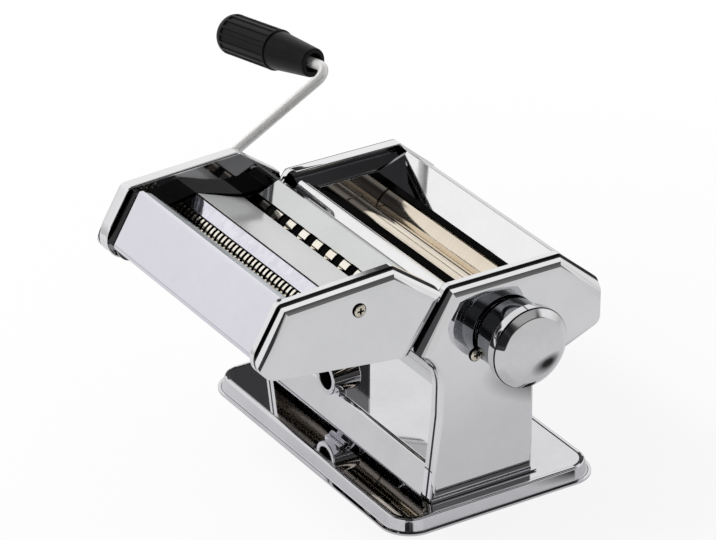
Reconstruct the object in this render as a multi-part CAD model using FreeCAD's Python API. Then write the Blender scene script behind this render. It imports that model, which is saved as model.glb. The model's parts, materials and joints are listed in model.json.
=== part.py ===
import FreeCAD, Part
import math
import os
from FreeCAD import Vector

# Hand-cranked pasta machine, in millimetres.
# +X points to the rear, -Y is the near side with the knob, +Y the far side with the crank,
# +Z is up, and the origin is the centre of the base on the table.

# Base
base_margin = 14.5
base_width = 134.0
base_height = 10.0
base_corner_r = 18.0
base_lip_width = 2.0
base_lip_gap = 1.5
base_lip_thickness = 1.2
base_wall_slope = 2.3
base_edge_r = 1.2
base_sheet = 1.2
foot_r = 7.0
foot_inset_x = 15.0
foot_inset_y = 15.0
foot_edge_r = 0.8

# Side plates, pressed from sheet as shallow trays
plate_sheet = 1.0
body_width = 177.0
tray_depth = 9.5
flange_width = 4.1
groove_depth = 0.9
groove_slope = 0.6
facet_depth = 4.2
border_depth = 8.9
border_lead = 1.0
border_spare = 30.0
border_reach = 1.6
least_bend_r = 0.3
facet_reach = 8.1
bend_r = 2.2

# Body outline seen from the side, counter-clockwise in X and Z
body_top_z = 136.0
leg_front_x = -37.1
leg_rear_x = 29.0
leg_waist = (-31.5, 60.0)
arch_corner = (28.8, 71.5)
tail_low = (72.3, 89.5)
tail_high = (72.3, 114.6)
top_rear_x = 47.0
top_front_x = -25.0
nose = (-46.7, 103.0)
throat = (-30.7, 92.9)
throat_r = 28.0
nose_r = 2.5
arch_r = 8.0
tail_low_r = 6.0
tail_high_r = 4.0
top_rear_r = 3.0
top_front_r = 5.0
waist_r = 20.0

# Attachment outline seen from the side, counter-clockwise in X and Z
front_low = (-151.1, 116.0)
rear_low = (-47.5, 103.5)
rear_high = (-26.9, 134.5)
ridge_rear = (-59.1, 157.8)
ridge_front = (-128.6, 154.2)
front_low_r = 12.0
rear_low_r = 4.0
rear_high_r = 9.0
ridge_r = 4.0
far_frame_low_r = 9.0
far_frame_rear_r = 3.0

# Frames and the working zone between them
frame_sheet = 2.0
gear_room = 22.0
play = 0.4
running = 0.05
seat_gap = 0.3
cover_sheet = 0.8
cover_inset = 0.6
fence_top_z = 127.8
fence_front_x = -12.5
fence_rear_x = 26.0
far_frame_low = 2.5
far_frame_front = (-23.6, 133.4)
far_frame_rear = (44.6, 133.8)
far_frame_front_drop = 2.0

# Sheets of the body seen from the side
guard_low_z = 76.0
guard_top_gap = 6.5
hopper_front_path = [(4.0, 116.9), (-24.8, 135.9)]
hopper_front_r = 1.6
hopper_lip_gap = 6.2
hopper_rear_path = [(45.2, 135.6), (44.2, 130.5), (40.6, 125.0), (33.8, 117.8)]
hopper_rear_radii = [0.0, 20.0, 14.0, 0.0]
rear_cover_drop = 0.4
rear_cover_start = 5.0
rear_cover_low_r = 5.0
rear_cover_high_r = 3.4
cheek_lift = 0.6
cheek_drop = 1.1
cheek_sheet = 1.0
cheek_front_gap = 1.5
cheek_rear_gap = 3.5

# Smooth rollers
roller_gap = 0.3
roller_z = 102.0
rear_roller_x = 38.0
roller_spacing = 28.0
roller_travel = 2.4
roller_chamfer = 0.4
journal_r = 5.0
bush_wall = 2.0
bush_length = 3.1
roller_teeth = 14
gear_gap = 3.5
gear_width = 6.0
pressure_angle = math.radians(20)
gear_root = 1.25
roller_backlash = 0.16
cutter_backlash = 0.12
flank_steps = 4

# Drive sockets, where the crank is plugged in
socket_r = 5.5
socket_bore_r = 3.4
socket_flat = 2.6
socket_depth = 10.7
socket_proud = 0.4
socket_hole_gap = 0.7

# Bearing blocks of the front roller
block_half = 9.0
near_block_depth = 7.0
far_block_depth = 3.1
journal_seat = 3.6
slot_depth = 2.4
slot_clearance = 0.35

# Thickness knob and its spindle
eccentric = 1.2
eccentric_r = 2.0
spindle_r = 5.0
spindle_gap = 0.3
knob_bush_wall = 3.0
dial_r = 16.8
dial_thickness = 2.1
index_count = 9
index_circle_r = 13.0
index_pin_r = 1.5
index_hole_gap = 0.2
knob_r = 23.5
knob_neck_r = 20.3
knob_neck_length = 14.6
knob_skirt_length = 5.6
knob_bevel = 4.6
knob_bevel_depth = 3.8
knob_dome = 1.8
knob_wall = 1.4
knob_pull = 4.0
hub_wall = 3.0
hub_web = 2.0
hub_web_y = 3.0
head_r = 9.0
head_thickness = 1.5
spring_inner_r = 5.6
spring_outer_r = 8.6
spring_sheet = 0.5
spring_discs = 4
spring_squeezed = 3.4
spring_end_gap = 0.1
spring_disc_gap = 0.05

# Scrapers, tie rods, pillars and screws
scraper_sheet = 0.8
scraper_gap = 0.7
scraper_run = 8.0
scraper_shift = 2.0
rod_r = 3.0
screw_head_r = 4.0
screw_head_height = 1.6
screw_shank_r = 1.8
screw_edge_r = 1.1
cross_reach = 2.2
cross_half = 0.5
cross_depth = 1.0
body_screw_back = 19.9
body_screw_drop = 8.7
body_rod_rear = (60.5, 100.0)
body_rod_front = (-35.5, 102.5)
pin_back = 15.2
pin_drop = 11.0
pin_r = 0.9
pin_proud = 0.5
attachment_screw = (-82.9, 140.7)
attachment_far_screw = (-79.1, 133.5)
attachment_rods = [(-79.1, 117.6), (-129.0, 128.0)]

# Crossbar and clamp socket between the legs
crossbar_front_x = -38.0
crossbar_rear_x = -28.0
crossbar_height = 15.5
crossbar_sheet = 1.2
crossbar_r = 3.0
crossbar_rear_r = 1.5
clamp_tube_r = 10.0
clamp_bore_r = 6.6
clamp_tube_length = 18.0
clamp_y = 20.0
saddle_width = 12.0

# Foot pads and base screws
pad_height = 0.8
pad_reach = 1.5
base_screw_xs = [-24.0, 16.0]
base_screw_length = 5.0

# Cutter rolls
cutter_r = 9.0
cutter_spacing = 17.0
cutter_core_gap = 0.3
cutter_end_gap = 0.2
journal_root = 0.5
fine_axis = (-110.3, 130.0)
wide_axis = (-64.9, 124.5)
fine_pitch = 4.0
wide_pitch = 14.0
ring_side_gap = 0.1
cutter_journal_r = 3.0
cutter_bush_wall = 1.5
cutter_teeth = 17
comb_sheet = 0.8
comb_drop = 4.0
comb_side_gap = 0.3
comb_end_gap = 0.5

# Attachment covers seen from the side, from the front to the rear
front_cover_path = [(-139.0, 121.0), (-144.0, 126.0), (-126.6, 155.5), (-106.3, 139.7)]
middle_cover_path = [(-97.3, 139.7), (-90.9, 145.0), (-61.2, 134.3)]
rear_cover_path = [(-51.9, 134.3), (-38.6, 140.0), (-35.4, 131.5)]
gear_cover_path = [(-143.2, 126.2), (-127.0, 153.4), (-110.0, 141.4), (-90.9, 144.4), (-61.0, 136.0),
                   (-45.0, 136.0), (-39.5, 139.0), (-36.0, 131.5)]
front_low_bend_r = 3.0
front_top_bend_r = 1.2
cover_bend_r = 1.5
gear_cover_bend_r = 2.0

# Rails on the body's slope and the hooks that hang on them
rail_start = 0.5
rail_length = 12.0
rail_stem = 3.0
rail_head = 7.0
rail_stem_height = 1.8
rail_head_height = 1.6
rail_near_inset = 6.0
rail_far_inset = 6.5
hook_clearance = 0.15
hook_length = 7.0
hook_width = 12.0
hook_height = 4.3
hook_floor = 0.5
stop_length = 1.2

# Crank and grip
rod_crank_r = 3.0
plug_r = 3.32
plug_flat = 2.52
arm_gap = 24.5
crank_corner = (23.6, 173.5)
crank_bend_r = 8.5
grip_way = (-0.163, 0.982, -0.085)
grip_start = 15.0
grip_length = 77.0
grip_r = 12.25
grip_neck_r = 11.4
grip_face_r = 8.65
grip_taper = 31.0
grip_mouth_r = 5.6
grip_mouth_depth = 5.0
grip_cap = 5.0
grip_flutes = 12
grip_flute_r = 1.6
retainer_r = 5.0
retainer_thickness = 1.5
retainer_gap = 0.4
retainer_room = 2.6
rod_end_gap = 2.0
grip_end_r = 7.0
grip_lip = 1.0
grip_flute_out = 0.9
grip_flute_start = 3.0
grip_flute_end = 7.0

# Extra length by which cutting shapes run past the metal
spare = 40.0
bore_spare = 1.0
plate_spare = 5.0

# Derived places
face_y = body_width / 2
open_y = face_y - tray_depth
near_y = -open_y
base_length = body_width + 2 * base_margin
zone_far_y = face_y - gear_room
gear_y = zone_far_y + gear_gap
arm_y = face_y + arm_gap
rail_places = [near_y + rail_near_inset, zone_far_y - rail_far_inset]
front_roller_x = rear_roller_x - roller_spacing
roller_r = (roller_spacing - roller_gap) / 2
roller_module = roller_spacing / roller_teeth
body_screw = (front_roller_x - body_screw_back, roller_z - body_screw_drop)
body_rods = [body_screw, body_rod_rear, body_rod_front]
pin_place = (front_roller_x - pin_back, roller_z - pin_drop)
cutter_module = cutter_spacing / cutter_teeth
base_top = base_height
slope_length = math.hypot(top_front_x - nose[0], body_top_z - nose[1])
slope_up = ((top_front_x - nose[0]) / slope_length, (body_top_z - nose[1]) / slope_length)
slope_out = (-slope_up[1], slope_up[0])


def body_outline():
    """Points and corner radii of the body's side plate."""
    points = [(leg_front_x, base_top + pad_height), (leg_rear_x, base_top + pad_height), arch_corner, tail_low,
              tail_high, (top_rear_x, body_top_z), (top_front_x, body_top_z), nose, throat, leg_waist]
    radii = [0.0, 0.0, arch_r, tail_low_r, tail_high_r, top_rear_r, top_front_r, nose_r, throat_r, waist_r]
    return points, radii


def attachment_outline():
    """Points and corner radii of the attachment's side plate."""
    points = [front_low, rear_low, rear_high, ridge_rear, ridge_front]
    radii = [front_low_r, rear_low_r, rear_high_r, ridge_r, ridge_r]
    return points, radii


def unit(a, b):
    """Unit direction from point a to point b in the plane."""
    length = math.hypot(b[0] - a[0], b[1] - a[1])
    return ((b[0] - a[0]) / length, (b[1] - a[1]) / length)


def meet(p, u, q, v):
    """Point where the line through p along u meets the line through q along v."""
    cross = u[0] * v[1] - u[1] * v[0]
    t = ((q[0] - p[0]) * v[1] - (q[1] - p[1]) * v[0]) / cross
    return (p[0] + u[0] * t, p[1] + u[1] * t)


def offset_path(points, radii, gap, closed):
    """Path moved to its left by gap, with the radius of each corner changed to match."""
    count = len(points)
    moved = []
    new_radii = []
    for i in range(count):
        first = not closed and i == 0
        last = not closed and i == count - 1
        here = points[i]
        into = None if first else unit(points[i - 1], here)
        out = None if last else unit(here, points[(i + 1) % count])
        if first or last:
            u = out or into
            moved.append((here[0] - u[1] * gap, here[1] + u[0] * gap))
            new_radii.append(0.0)
            continue
        p = (here[0] - into[1] * gap, here[1] + into[0] * gap)
        q = (here[0] - out[1] * gap, here[1] + out[0] * gap)
        turn = into[0] * out[1] - into[1] * out[0]
        moved.append(meet(p, into, q, out))
        new_radii.append(max(radii[i] - math.copysign(gap, turn), 0.0))
    return moved, new_radii


def rounded_edges(points, radii, lift, closed):
    """Lines and arcs through plane points, each corner rounded; lift turns a point into a vector."""
    count = len(points)
    starts = []
    ends = []
    arcs = []
    for i in range(count):
        here = points[i]
        if radii[i] < 0.02 or (not closed and i in (0, count - 1)):
            starts.append(here)
            ends.append(here)
            arcs.append(None)
            continue
        back = unit(here, points[i - 1])
        ahead = unit(here, points[(i + 1) % count])
        half = math.acos(back[0] * ahead[0] + back[1] * ahead[1]) / 2
        reach = radii[i] / math.tan(half)
        starts.append((here[0] + back[0] * reach, here[1] + back[1] * reach))
        ends.append((here[0] + ahead[0] * reach, here[1] + ahead[1] * reach))
        middle = unit((0, 0), (back[0] + ahead[0], back[1] + ahead[1]))
        depth = radii[i] / math.sin(half) - radii[i]
        arcs.append((here[0] + middle[0] * depth, here[1] + middle[1] * depth))
    edges = []
    for i in range(count):
        if arcs[i]:
            edges.append(Part.Arc(lift(starts[i]), lift(arcs[i]), lift(ends[i])).toShape())
        if not closed and i == count - 1:
            break
        following = starts[(i + 1) % count]
        if math.hypot(following[0] - ends[i][0], following[1] - ends[i][1]) > 1e-6:
            edges.append(Part.LineSegment(lift(ends[i]), lift(following)).toShape())
    return edges


def at_y(y):
    """Lift that places an X and Z point at the given y."""
    return lambda p: Vector(p[0], y, p[1])


def slab(points, radii, y0, y1):
    """Closed outline in X and Z, rounded and extruded from y0 to y1."""
    wire = Part.Wire(rounded_edges(points, radii, at_y(y0), True))
    return Part.Face(wire).extrude(Vector(0, y1 - y0, 0))


def bent_sheet(points, radii, thickness, y0, y1):
    """Sheet whose visible side follows the path and whose thickness lies to the path's left."""
    other, other_radii = offset_path(points, radii, thickness, False)
    inner = [max(r, 0.0) for r in other_radii]
    edges = rounded_edges(points, radii, at_y(y0), False)
    back = rounded_edges(other, inner, at_y(y0), False)
    lift = at_y(y0)
    edges.append(Part.LineSegment(lift(points[-1]), lift(other[-1])).toShape())
    edges.extend(back)
    edges.append(Part.LineSegment(lift(other[0]), lift(points[0])).toShape())
    wire = Part.Wire(Part.__sortEdges__(edges))
    return Part.Face(wire).extrude(Vector(0, y1 - y0, 0))


def rod(x, z, radius, y0, y1):
    """Cylinder along Y."""
    low = min(y0, y1)
    return Part.makeCylinder(radius, abs(y1 - y0), Vector(x, low, z), Vector(0, 1, 0))


def box(x0, x1, y0, y1, z0, z1):
    """Box between two corners."""
    return Part.makeBox(x1 - x0, y1 - y0, z1 - z0, Vector(x0, y0, z0))


def ring(x, z, outer, inner, y0, y1):
    """Round bush along Y."""
    return rod(x, z, outer, y0, y1).cut(rod(x, z, inner, y0 - 1, y1 + 1))


def turned(profile, x, z):
    """Solid of revolution about the Y line through x and z; profile lists radius and y."""
    points = [Vector(x + r, y, z) for r, y in profile]
    wire = Part.makePolygon(points + [points[0]])
    return Part.Face(wire).revolve(Vector(x, 0, z), Vector(0, 1, 0), 360)


def border_profile():
    """Cross-section of a plate's pressed border: reach from the open side, and depth below the outline."""
    return [(-border_lead, 0.0), (flange_width, 0.0), (flange_width + groove_slope, groove_depth),
            (facet_reach, facet_depth), (tray_depth, border_depth), (tray_depth, border_depth + border_spare)]


def border_cut(start, end, side, gap):
    """Prism that shapes the border along one edge of the outline; gap moves it inward by the sheet."""
    full = border_profile()
    moved, _ = offset_path(full, [0.0] * len(full), gap, False)
    profile = moved[1:-1]
    along = unit(start, end)
    inward = (-along[1], along[0])
    beyond = tray_depth + spare / 4
    section = [(profile[0][0], -spare / 4)] + profile + [(beyond, profile[-1][1]), (beyond, -spare / 4)]
    low = (start[0] - along[0] * spare, start[1] - along[1] * spare)
    corners = [Vector(low[0] + inward[0] * depth, side * (open_y + reach), low[1] + inward[1] * depth)
               for reach, depth in section]
    length = math.hypot(end[0] - start[0], end[1] - start[1]) + 2 * spare
    face = Part.Face(Part.makePolygon(corners + [corners[0]]))
    return face.extrude(Vector(along[0] * length, 0, along[1] * length))


def face_bend(solid, y, outline_edges, radius):
    """Rounds the plate's free edges at y, all but those beside a pressed border."""
    chosen = []
    for edge in solid.Edges:
        if abs(edge.BoundBox.YMin - y) > 0.01 or abs(edge.BoundBox.YMax - y) > 0.01:
            continue
        middle = edge.valueAt((edge.FirstParameter + edge.LastParameter) / 2)
        on_border = False
        for start, end in outline_edges:
            along = unit(start, end)
            away = abs((middle.x - start[0]) * along[1] - (middle.z - start[1]) * along[0])
            on_border = on_border or away < border_reach
        if not on_border:
            chosen.append(edge)
    return solid.makeFillet(radius, chosen)


def tray(outline, borders, side, bend):
    """Pressed side plate: outline, pressed borders on the edges that start at the listed points."""
    points, radii = outline
    count = len(points)
    pairs = [(points[i], points[(i + 1) % count]) for i in borders]
    outer = slab(points, radii, side * open_y, side * face_y)
    inner_points, inner_radii = offset_path(points, radii, plate_sheet, True)
    inner = slab(inner_points, inner_radii, side * (open_y - 1.0), side * (face_y - plate_sheet))
    if bend > 0:
        outer = face_bend(outer, side * face_y, pairs, bend)
        inner = face_bend(inner, side * (face_y - plate_sheet), pairs, max(bend - plate_sheet, least_bend_r))
    for start, end in pairs:
        outer = outer.cut(border_cut(start, end, side, 0.0))
        inner = inner.cut(border_cut(start, end, side, plate_sheet))
    return outer.cut(inner)


def gear(x, z, module, teeth, phase, y0, y1, backlash, bore):
    """Spur gear with involute flanks about the Y line through x and z."""
    pitch_r = module * teeth / 2
    base_r = pitch_r * math.cos(pressure_angle)
    root_r = pitch_r - gear_root * module
    tip_r = pitch_r + module
    half_pitch = math.pi / (2 * teeth) - backlash / (2 * pitch_r)
    roll = math.tan(pressure_angle) - pressure_angle
    flank = [(root_r, half_pitch + roll)]
    for i in range(flank_steps + 1):
        r = base_r + (tip_r - base_r) * i / flank_steps
        angle = math.acos(base_r / r)
        flank.append((r, half_pitch + roll - (math.tan(angle) - angle)))
    points = []
    for tooth in range(teeth):
        centre = phase + 2 * math.pi * tooth / teeth
        for r, half in flank:
            points.append((r, centre - half))
        for r, half in reversed(flank):
            points.append((r, centre + half))
    corners = [Vector(x + r * math.cos(a), y0, z + r * math.sin(a)) for r, a in points]
    blank = Part.Face(Part.makePolygon(corners + [corners[0]])).extrude(Vector(0, y1 - y0, 0))
    return blank.cut(rod(x, z, bore, y0 - 1, y1 + 1))


def flatted_rod(x, z, radius, flat, y0, y1):
    """Rod along Y with two flats above and below its axis."""
    return rod(x, z, radius, y0, y1).common(box(x - radius, x + radius, y0, y1, z - flat, z + flat))


def socket_boss(x, z):
    """Drive socket at the far end of a driven shaft."""
    mouth = face_y + socket_proud
    boss = rod(x, z, socket_r, gear_y + gear_width, mouth)
    return boss.cut(flatted_rod(x, z, socket_bore_r, socket_flat, mouth - socket_depth, mouth + bore_spare))


def socket_hole(x, z):
    """Hole for a drive socket in a far side plate."""
    return rod(x, z, socket_r + socket_hole_gap, open_y - plate_spare, face_y + plate_spare)


def cutter_roll(x, z, pitch, first_ring, driven):
    """Ring-and-groove roll, with its journals and, if driven, its socket."""
    low = near_y + play
    high = zone_far_y - play
    core = cutter_spacing - cutter_r - cutter_core_gap
    profile = [(0.0, low), (core, low)]
    ring_width = pitch / 2 - 2 * ring_side_gap
    start = near_y + first_ring * pitch / 2 + ring_side_gap + play
    while start + ring_width < high - cutter_end_gap:
        profile.extend([(core, start), (cutter_r, start), (cutter_r, start + ring_width),
                        (core, start + ring_width)])
        start += pitch
    profile.extend([(core, high), (0.0, high)])
    journal_low = near_y - frame_sheet - bush_length / 3
    solid = turned(profile, x, z)
    solid = solid.fuse(rod(x, z, cutter_journal_r, journal_low, low + journal_root))
    solid = solid.fuse(rod(x, z, cutter_journal_r, high - journal_root, gear_y + gear_width))
    if driven:
        solid = solid.fuse(socket_boss(x, z))
    return solid.removeSplitter()


def comb(x, z, pitch, first_groove):
    """Comb under a cutter roll with one tooth in every groove."""
    core = cutter_spacing - cutter_r - cutter_core_gap
    back_z = z - cutter_r - cutter_core_gap
    tip_z = z - core - cutter_core_gap
    half = pitch / 4 - comb_side_gap
    points = [(near_y, back_z - comb_drop), (zone_far_y, back_z - comb_drop), (zone_far_y, back_z)]
    teeth = []
    middle = near_y + play + (first_groove + 0.5) * pitch / 2
    while middle + half < zone_far_y - comb_end_gap:
        teeth.append(middle)
        middle += pitch
    for middle in reversed(teeth):
        points.extend([(middle + half, back_z), (middle + half, tip_z), (middle - half, tip_z),
                       (middle - half, back_z)])
    points.append((near_y, back_z))
    corners = [Vector(x - comb_sheet / 2, y, level) for y, level in points]
    return Part.Face(Part.makePolygon(corners + [corners[0]])).extrude(Vector(comb_sheet, 0, 0))


def on_slope(along, out):
    """Point in X and Z at a distance along the body's slope from the nose and out from it."""
    return (nose[0] + slope_up[0] * along + slope_out[0] * out,
            nose[1] + slope_up[1] * along + slope_out[1] * out)


def slope_block(along0, along1, out0, out1, y0, y1):
    """Box lying on the body's slope."""
    corners = [on_slope(along0, out0), on_slope(along1, out0), on_slope(along1, out1), on_slope(along0, out1)]
    return slab(corners, [0.0] * 4, y0, y1)


def cross_screw(x, z, side, length):
    """Pan-head screw along Y with a cross recess, its head on a side plate's face."""
    head_y = side * (face_y + screw_head_height)
    solid = rod(x, z, screw_head_r, side * face_y, head_y)
    rim = [e for e in solid.Edges if abs(e.BoundBox.YMin - head_y) < 0.01 and abs(e.BoundBox.YMax - head_y) < 0.01]
    solid = solid.makeFillet(screw_edge_r, rim)
    solid = solid.fuse(rod(x, z, screw_shank_r, side * face_y, side * (face_y - length)))
    floor_y = head_y - side * cross_depth
    over_y = head_y + side * bore_spare
    for along, across in ((cross_reach, cross_half), (cross_half, cross_reach)):
        solid = solid.cut(box(x - along, x + along, min(floor_y, over_y), max(floor_y, over_y), z - across, z + across))
    return solid


def pillar(x, z, y0, y1):
    """Spacer between a side plate and an inner frame, with the screw's hole."""
    return ring(x, z, rod_r, screw_shank_r, y0, y1)


def base_plate():
    """Pressed base: flat top, sloping wall, and a thin lip turned out."""
    def outline(grow, z):
        half_x = base_width / 2 - grow
        half_y = base_length / 2 - grow
        corners = [(-half_x, -half_y), (half_x, -half_y), (half_x, half_y), (-half_x, half_y)]
        edges = rounded_edges(corners, [base_corner_r - grow] * 4, lambda p: Vector(p[0], p[1], z), True)
        return Part.Wire(edges)

    rim = base_lip_width + base_wall_slope
    lip_top = base_lip_gap + base_lip_thickness
    hill = Part.makeLoft([outline(base_lip_width, base_lip_gap), outline(rim, base_top)], True, True)
    top_edges = [e for e in hill.Edges if abs(e.BoundBox.ZMin - base_top) < 0.01 and e.BoundBox.ZLength < 0.01]
    hill = hill.makeFillet(base_edge_r, top_edges)
    lip = Part.Face(outline(0.0, base_lip_gap)).extrude(Vector(0, 0, lip_top - base_lip_gap))
    hollow = Part.makeLoft([outline(base_lip_width + base_sheet, base_lip_gap - 1.0),
                            outline(rim + base_sheet, base_top - base_sheet)], True, True)
    solid = hill.fuse(lip).cut(hollow)
    for x, y in base_screw_places():
        solid = solid.cut(Part.makeCylinder(screw_shank_r, base_height, Vector(x, y, 0)))
    return solid.removeSplitter()


def base_screw_places():
    """Centres of the screws that hold the legs to the base."""
    leg_y = (open_y + face_y) / 2
    return [(x, side * leg_y) for x in base_screw_xs for side in (-1, 1)]


def rubber_feet():
    """Four round feet under the base's top sheet."""
    places = [(sx * (base_width / 2 - foot_inset_x), sy * (base_length / 2 - foot_inset_y))
              for sx in (-1, 1) for sy in (-1, 1)]
    feet = []
    for x, y in places:
        foot = Part.makeCylinder(foot_r, base_top - base_sheet, Vector(x, y, 0))
        rim = [e for e in foot.Edges if e.BoundBox.ZMax < 0.01 and e.BoundBox.ZLength < 0.01]
        feet.append(foot.makeFillet(foot_edge_r, rim))
    return Part.makeCompound(feet)


def base_screws():
    """Screws from under the base into the legs."""
    screws = []
    for x, y in base_screw_places():
        top = base_top - base_sheet
        head = Part.makeCylinder(screw_head_r, screw_head_height, Vector(x, y, top - screw_head_height))
        shank = Part.makeCylinder(screw_shank_r, base_sheet + base_screw_length, Vector(x, y, top))
        screws.append(head.fuse(shank))
    return Part.makeCompound(screws)


def foot_pads():
    """Flat pad between each pair of legs' feet and the base."""
    pads = []
    for side in (-1, 1):
        low = min(side * open_y, side * (face_y + pad_reach))
        high = max(side * open_y, side * (face_y + pad_reach))
        pad = box(leg_front_x - pad_reach / 2, leg_rear_x + pad_reach, low, high, base_top, base_top + pad_height)
        for x, y in base_screw_places():
            pad = pad.cut(Part.makeCylinder(screw_shank_r, base_height, Vector(x, y, base_top - 1)))
        pads.append(pad)
    return Part.makeCompound(pads)


def body_plate(side):
    """Side plate of the body with its pressed border along the slope, the top and the rear slope."""
    solid = tray(body_outline(), [4, 5, 6], side, bend_r)
    x, z = body_screw
    solid = solid.cut(rod(x, z, screw_shank_r, side * open_y, side * (face_y + 5)))
    if side < 0:
        solid = solid.cut(rod(front_roller_x, roller_z, spindle_r + running + knob_bush_wall,
                              side * open_y, side * (face_y + 5)))
        solid = solid.cut(rod(pin_place[0], pin_place[1], pin_r, side * open_y, side * (face_y + 5)))
    else:
        solid = solid.cut(socket_hole(rear_roller_x, roller_z))
    for place_x, place_y in base_screw_places():
        solid = solid.cut(Part.makeCylinder(screw_shank_r, base_height, Vector(place_x, place_y, base_top)))
    return solid


def block_window(x, y0):
    """Window in which a bearing block slides."""
    return box(x - block_half - roller_travel - seat_gap, x + block_half + running, y0 - 1, y0 + frame_sheet + 1,
               roller_z - block_half - running, roller_z + block_half + running)


def body_frame(far):
    """Inner frame of the body, with windows and holes for the roller bearings; the near one closes its leg."""
    points, radii = body_outline()
    gap = cover_inset + cover_sheet + running if far else plate_sheet + running
    inner, inner_radii = offset_path(points, radii, gap, True)
    y0 = zone_far_y if far else near_y - frame_sheet
    solid = slab(inner, inner_radii, y0, y0 + frame_sheet)
    if far:
        solid = solid.cut(box(nose[0] - spare, tail_low[0] + spare, y0 - 1, y0 + frame_sheet + 1, 0,
                              arch_corner[1] + far_frame_low))
        slope = [(nose[0] - spare, body_top_z + spare), (nose[0] - spare, body_top_z - far_frame_front_drop),
                 far_frame_front, (fence_front_x, fence_top_z), (fence_rear_x, fence_top_z), far_frame_rear,
                 (tail_high[0] + spare, far_frame_rear[1]), (tail_high[0] + spare, body_top_z + spare)]
        solid = solid.cut(slab(slope, [0.0] * len(slope), y0 - 1, y0 + frame_sheet + 1))
    solid = solid.cut(rod(rear_roller_x, roller_z, journal_r + running + bush_wall, y0 - 1, y0 + frame_sheet + 1))
    solid = solid.cut(block_window(front_roller_x, y0))
    for x, z in body_rods:
        solid = solid.cut(rod(x, z, screw_shank_r, y0 - 1, y0 + frame_sheet + 1))
    if not far:
        solid = solid.cut(rod(pin_place[0], pin_place[1], pin_r, y0 - 1, y0 + frame_sheet + 1))
    return solid


def far_side_liner():
    """Flat liner that closes the open side of the body's far plate."""
    points, radii = body_outline()
    inner, inner_radii = offset_path(points, radii, plate_sheet + running, True)
    solid = slab(inner, inner_radii, open_y, open_y + plate_sheet)
    solid = solid.cut(rod(rear_roller_x, roller_z, socket_r + socket_hole_gap, open_y - 1, open_y + plate_sheet + 1))
    return solid.cut(rod(body_screw[0], body_screw[1], rod_r, open_y - 1, open_y + plate_sheet + 1))


def front_lower_guard():
    """Sheet that follows the throat, rounds the nose and runs up the slope."""
    points, radii = body_outline()
    moved, moved_radii = offset_path(points, radii, cover_inset, True)
    throat_in, nose_in = moved[8], moved[7]
    low = meet(throat_in, unit(moved[9], throat_in), (0.0, guard_low_z), (1.0, 0.0))
    top = on_slope(slope_length - guard_top_gap, -cover_inset)
    path = [top, nose_in, throat_in, low]
    return bent_sheet(path, [0.0, moved_radii[7], moved_radii[8], 0.0], cover_sheet, near_y, open_y)


def front_guide():
    """Front of the hopper: slope down to the front roller, with a rolled top edge."""
    lip = on_slope(slope_length - hopper_lip_gap, -cover_inset)
    return bent_sheet(hopper_front_path + [lip], [0.0, hopper_front_r, 0.0], cover_sheet, near_y, zone_far_y)


def rear_guide():
    """Rear of the hopper: curved sheet from the top edge down to the rear roller."""
    return bent_sheet(hopper_rear_path, hopper_rear_radii, cover_sheet, near_y, zone_far_y)


def rear_cover():
    """Sheet over the rear slope, down the back and under it to the legs."""
    points, radii = body_outline()
    moved, _ = offset_path(points, radii, cover_inset, True)
    top = meet(moved[5], unit(moved[4], moved[5]), (0.0, body_top_z - rear_cover_drop), (1.0, 0.0))
    tail_rise = (moved[3][1] - moved[2][1]) / (moved[3][0] - moved[2][0])
    low = (moved[2][0] + rear_cover_start, moved[2][1] + rear_cover_start * tail_rise)
    return bent_sheet([low, moved[3], moved[4], top], [0.0, rear_cover_low_r, rear_cover_high_r, 0.0], cover_sheet,
                      near_y, open_y)


def far_cheek():
    """Slanting sheet from the top of the far frame up to the far plate's flange."""
    low_y = zone_far_y + frame_sheet
    low_z = fence_top_z + cheek_lift
    high_z = body_top_z - cheek_drop
    section = [(low_y, low_z), (open_y, high_z), (open_y, high_z - cheek_sheet), (low_y, low_z - cheek_sheet)]
    start = top_front_x + cheek_front_gap
    corners = [Vector(start, y, z) for y, z in section]
    reach = top_rear_x - cheek_rear_gap - start
    return Part.Face(Part.makePolygon(corners + [corners[0]])).extrude(Vector(reach, 0, 0))


def roller_scrapers():
    """Two blades under the smooth rollers that keep dough off them."""
    blades = []
    tip_z = roller_z - roller_r - scraper_gap
    for x, way in ((front_roller_x - scraper_shift, -1), (rear_roller_x + scraper_shift, 1)):
        end = (x + way * scraper_run, tip_z - scraper_run / 2)
        path = [(x, tip_z), end] if way < 0 else [end, (x, tip_z)]
        blades.append(bent_sheet(path, [0.0, 0.0], scraper_sheet, near_y, zone_far_y))
    return Part.makeCompound(blades)


def rear_roller_bushes():
    """Bearing bushes of the rear roller in both frames."""
    inner = journal_r + running
    near = ring(rear_roller_x, roller_z, inner + bush_wall, inner, near_y - bush_length, near_y)
    far = ring(rear_roller_x, roller_z, inner + bush_wall, inner, zone_far_y, zone_far_y + bush_length)
    return Part.makeCompound([near, far])


def smooth_roller(x, near_end, far_end, driven):
    """Smooth roller with its journals."""
    solid = rod(x, roller_z, roller_r, near_y + play, zone_far_y - play)
    ends = [e for e in solid.Edges if e.BoundBox.YLength < 0.01]
    solid = solid.makeChamfer(roller_chamfer, ends)
    solid = solid.fuse(rod(x, roller_z, journal_r, near_end, near_y + play))
    solid = solid.fuse(rod(x, roller_z, journal_r, zone_far_y - play, far_end))
    if driven:
        solid = solid.fuse(socket_boss(x, roller_z))
    return solid.removeSplitter()


def rear_roller():
    """Driven rear roller with its drive socket."""
    return smooth_roller(rear_roller_x, near_y - bush_length, gear_y + gear_width, True)


def front_roller():
    """Front roller, carried in the sliding bearing blocks."""
    return smooth_roller(front_roller_x, near_y - play - journal_seat + seat_gap, gear_y + gear_width, False)


def mesh_phase(teeth):
    """Phase of a gear whose gap faces -X, so that it meets a mate with a tooth on +X."""
    return math.pi - math.pi / teeth


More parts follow.
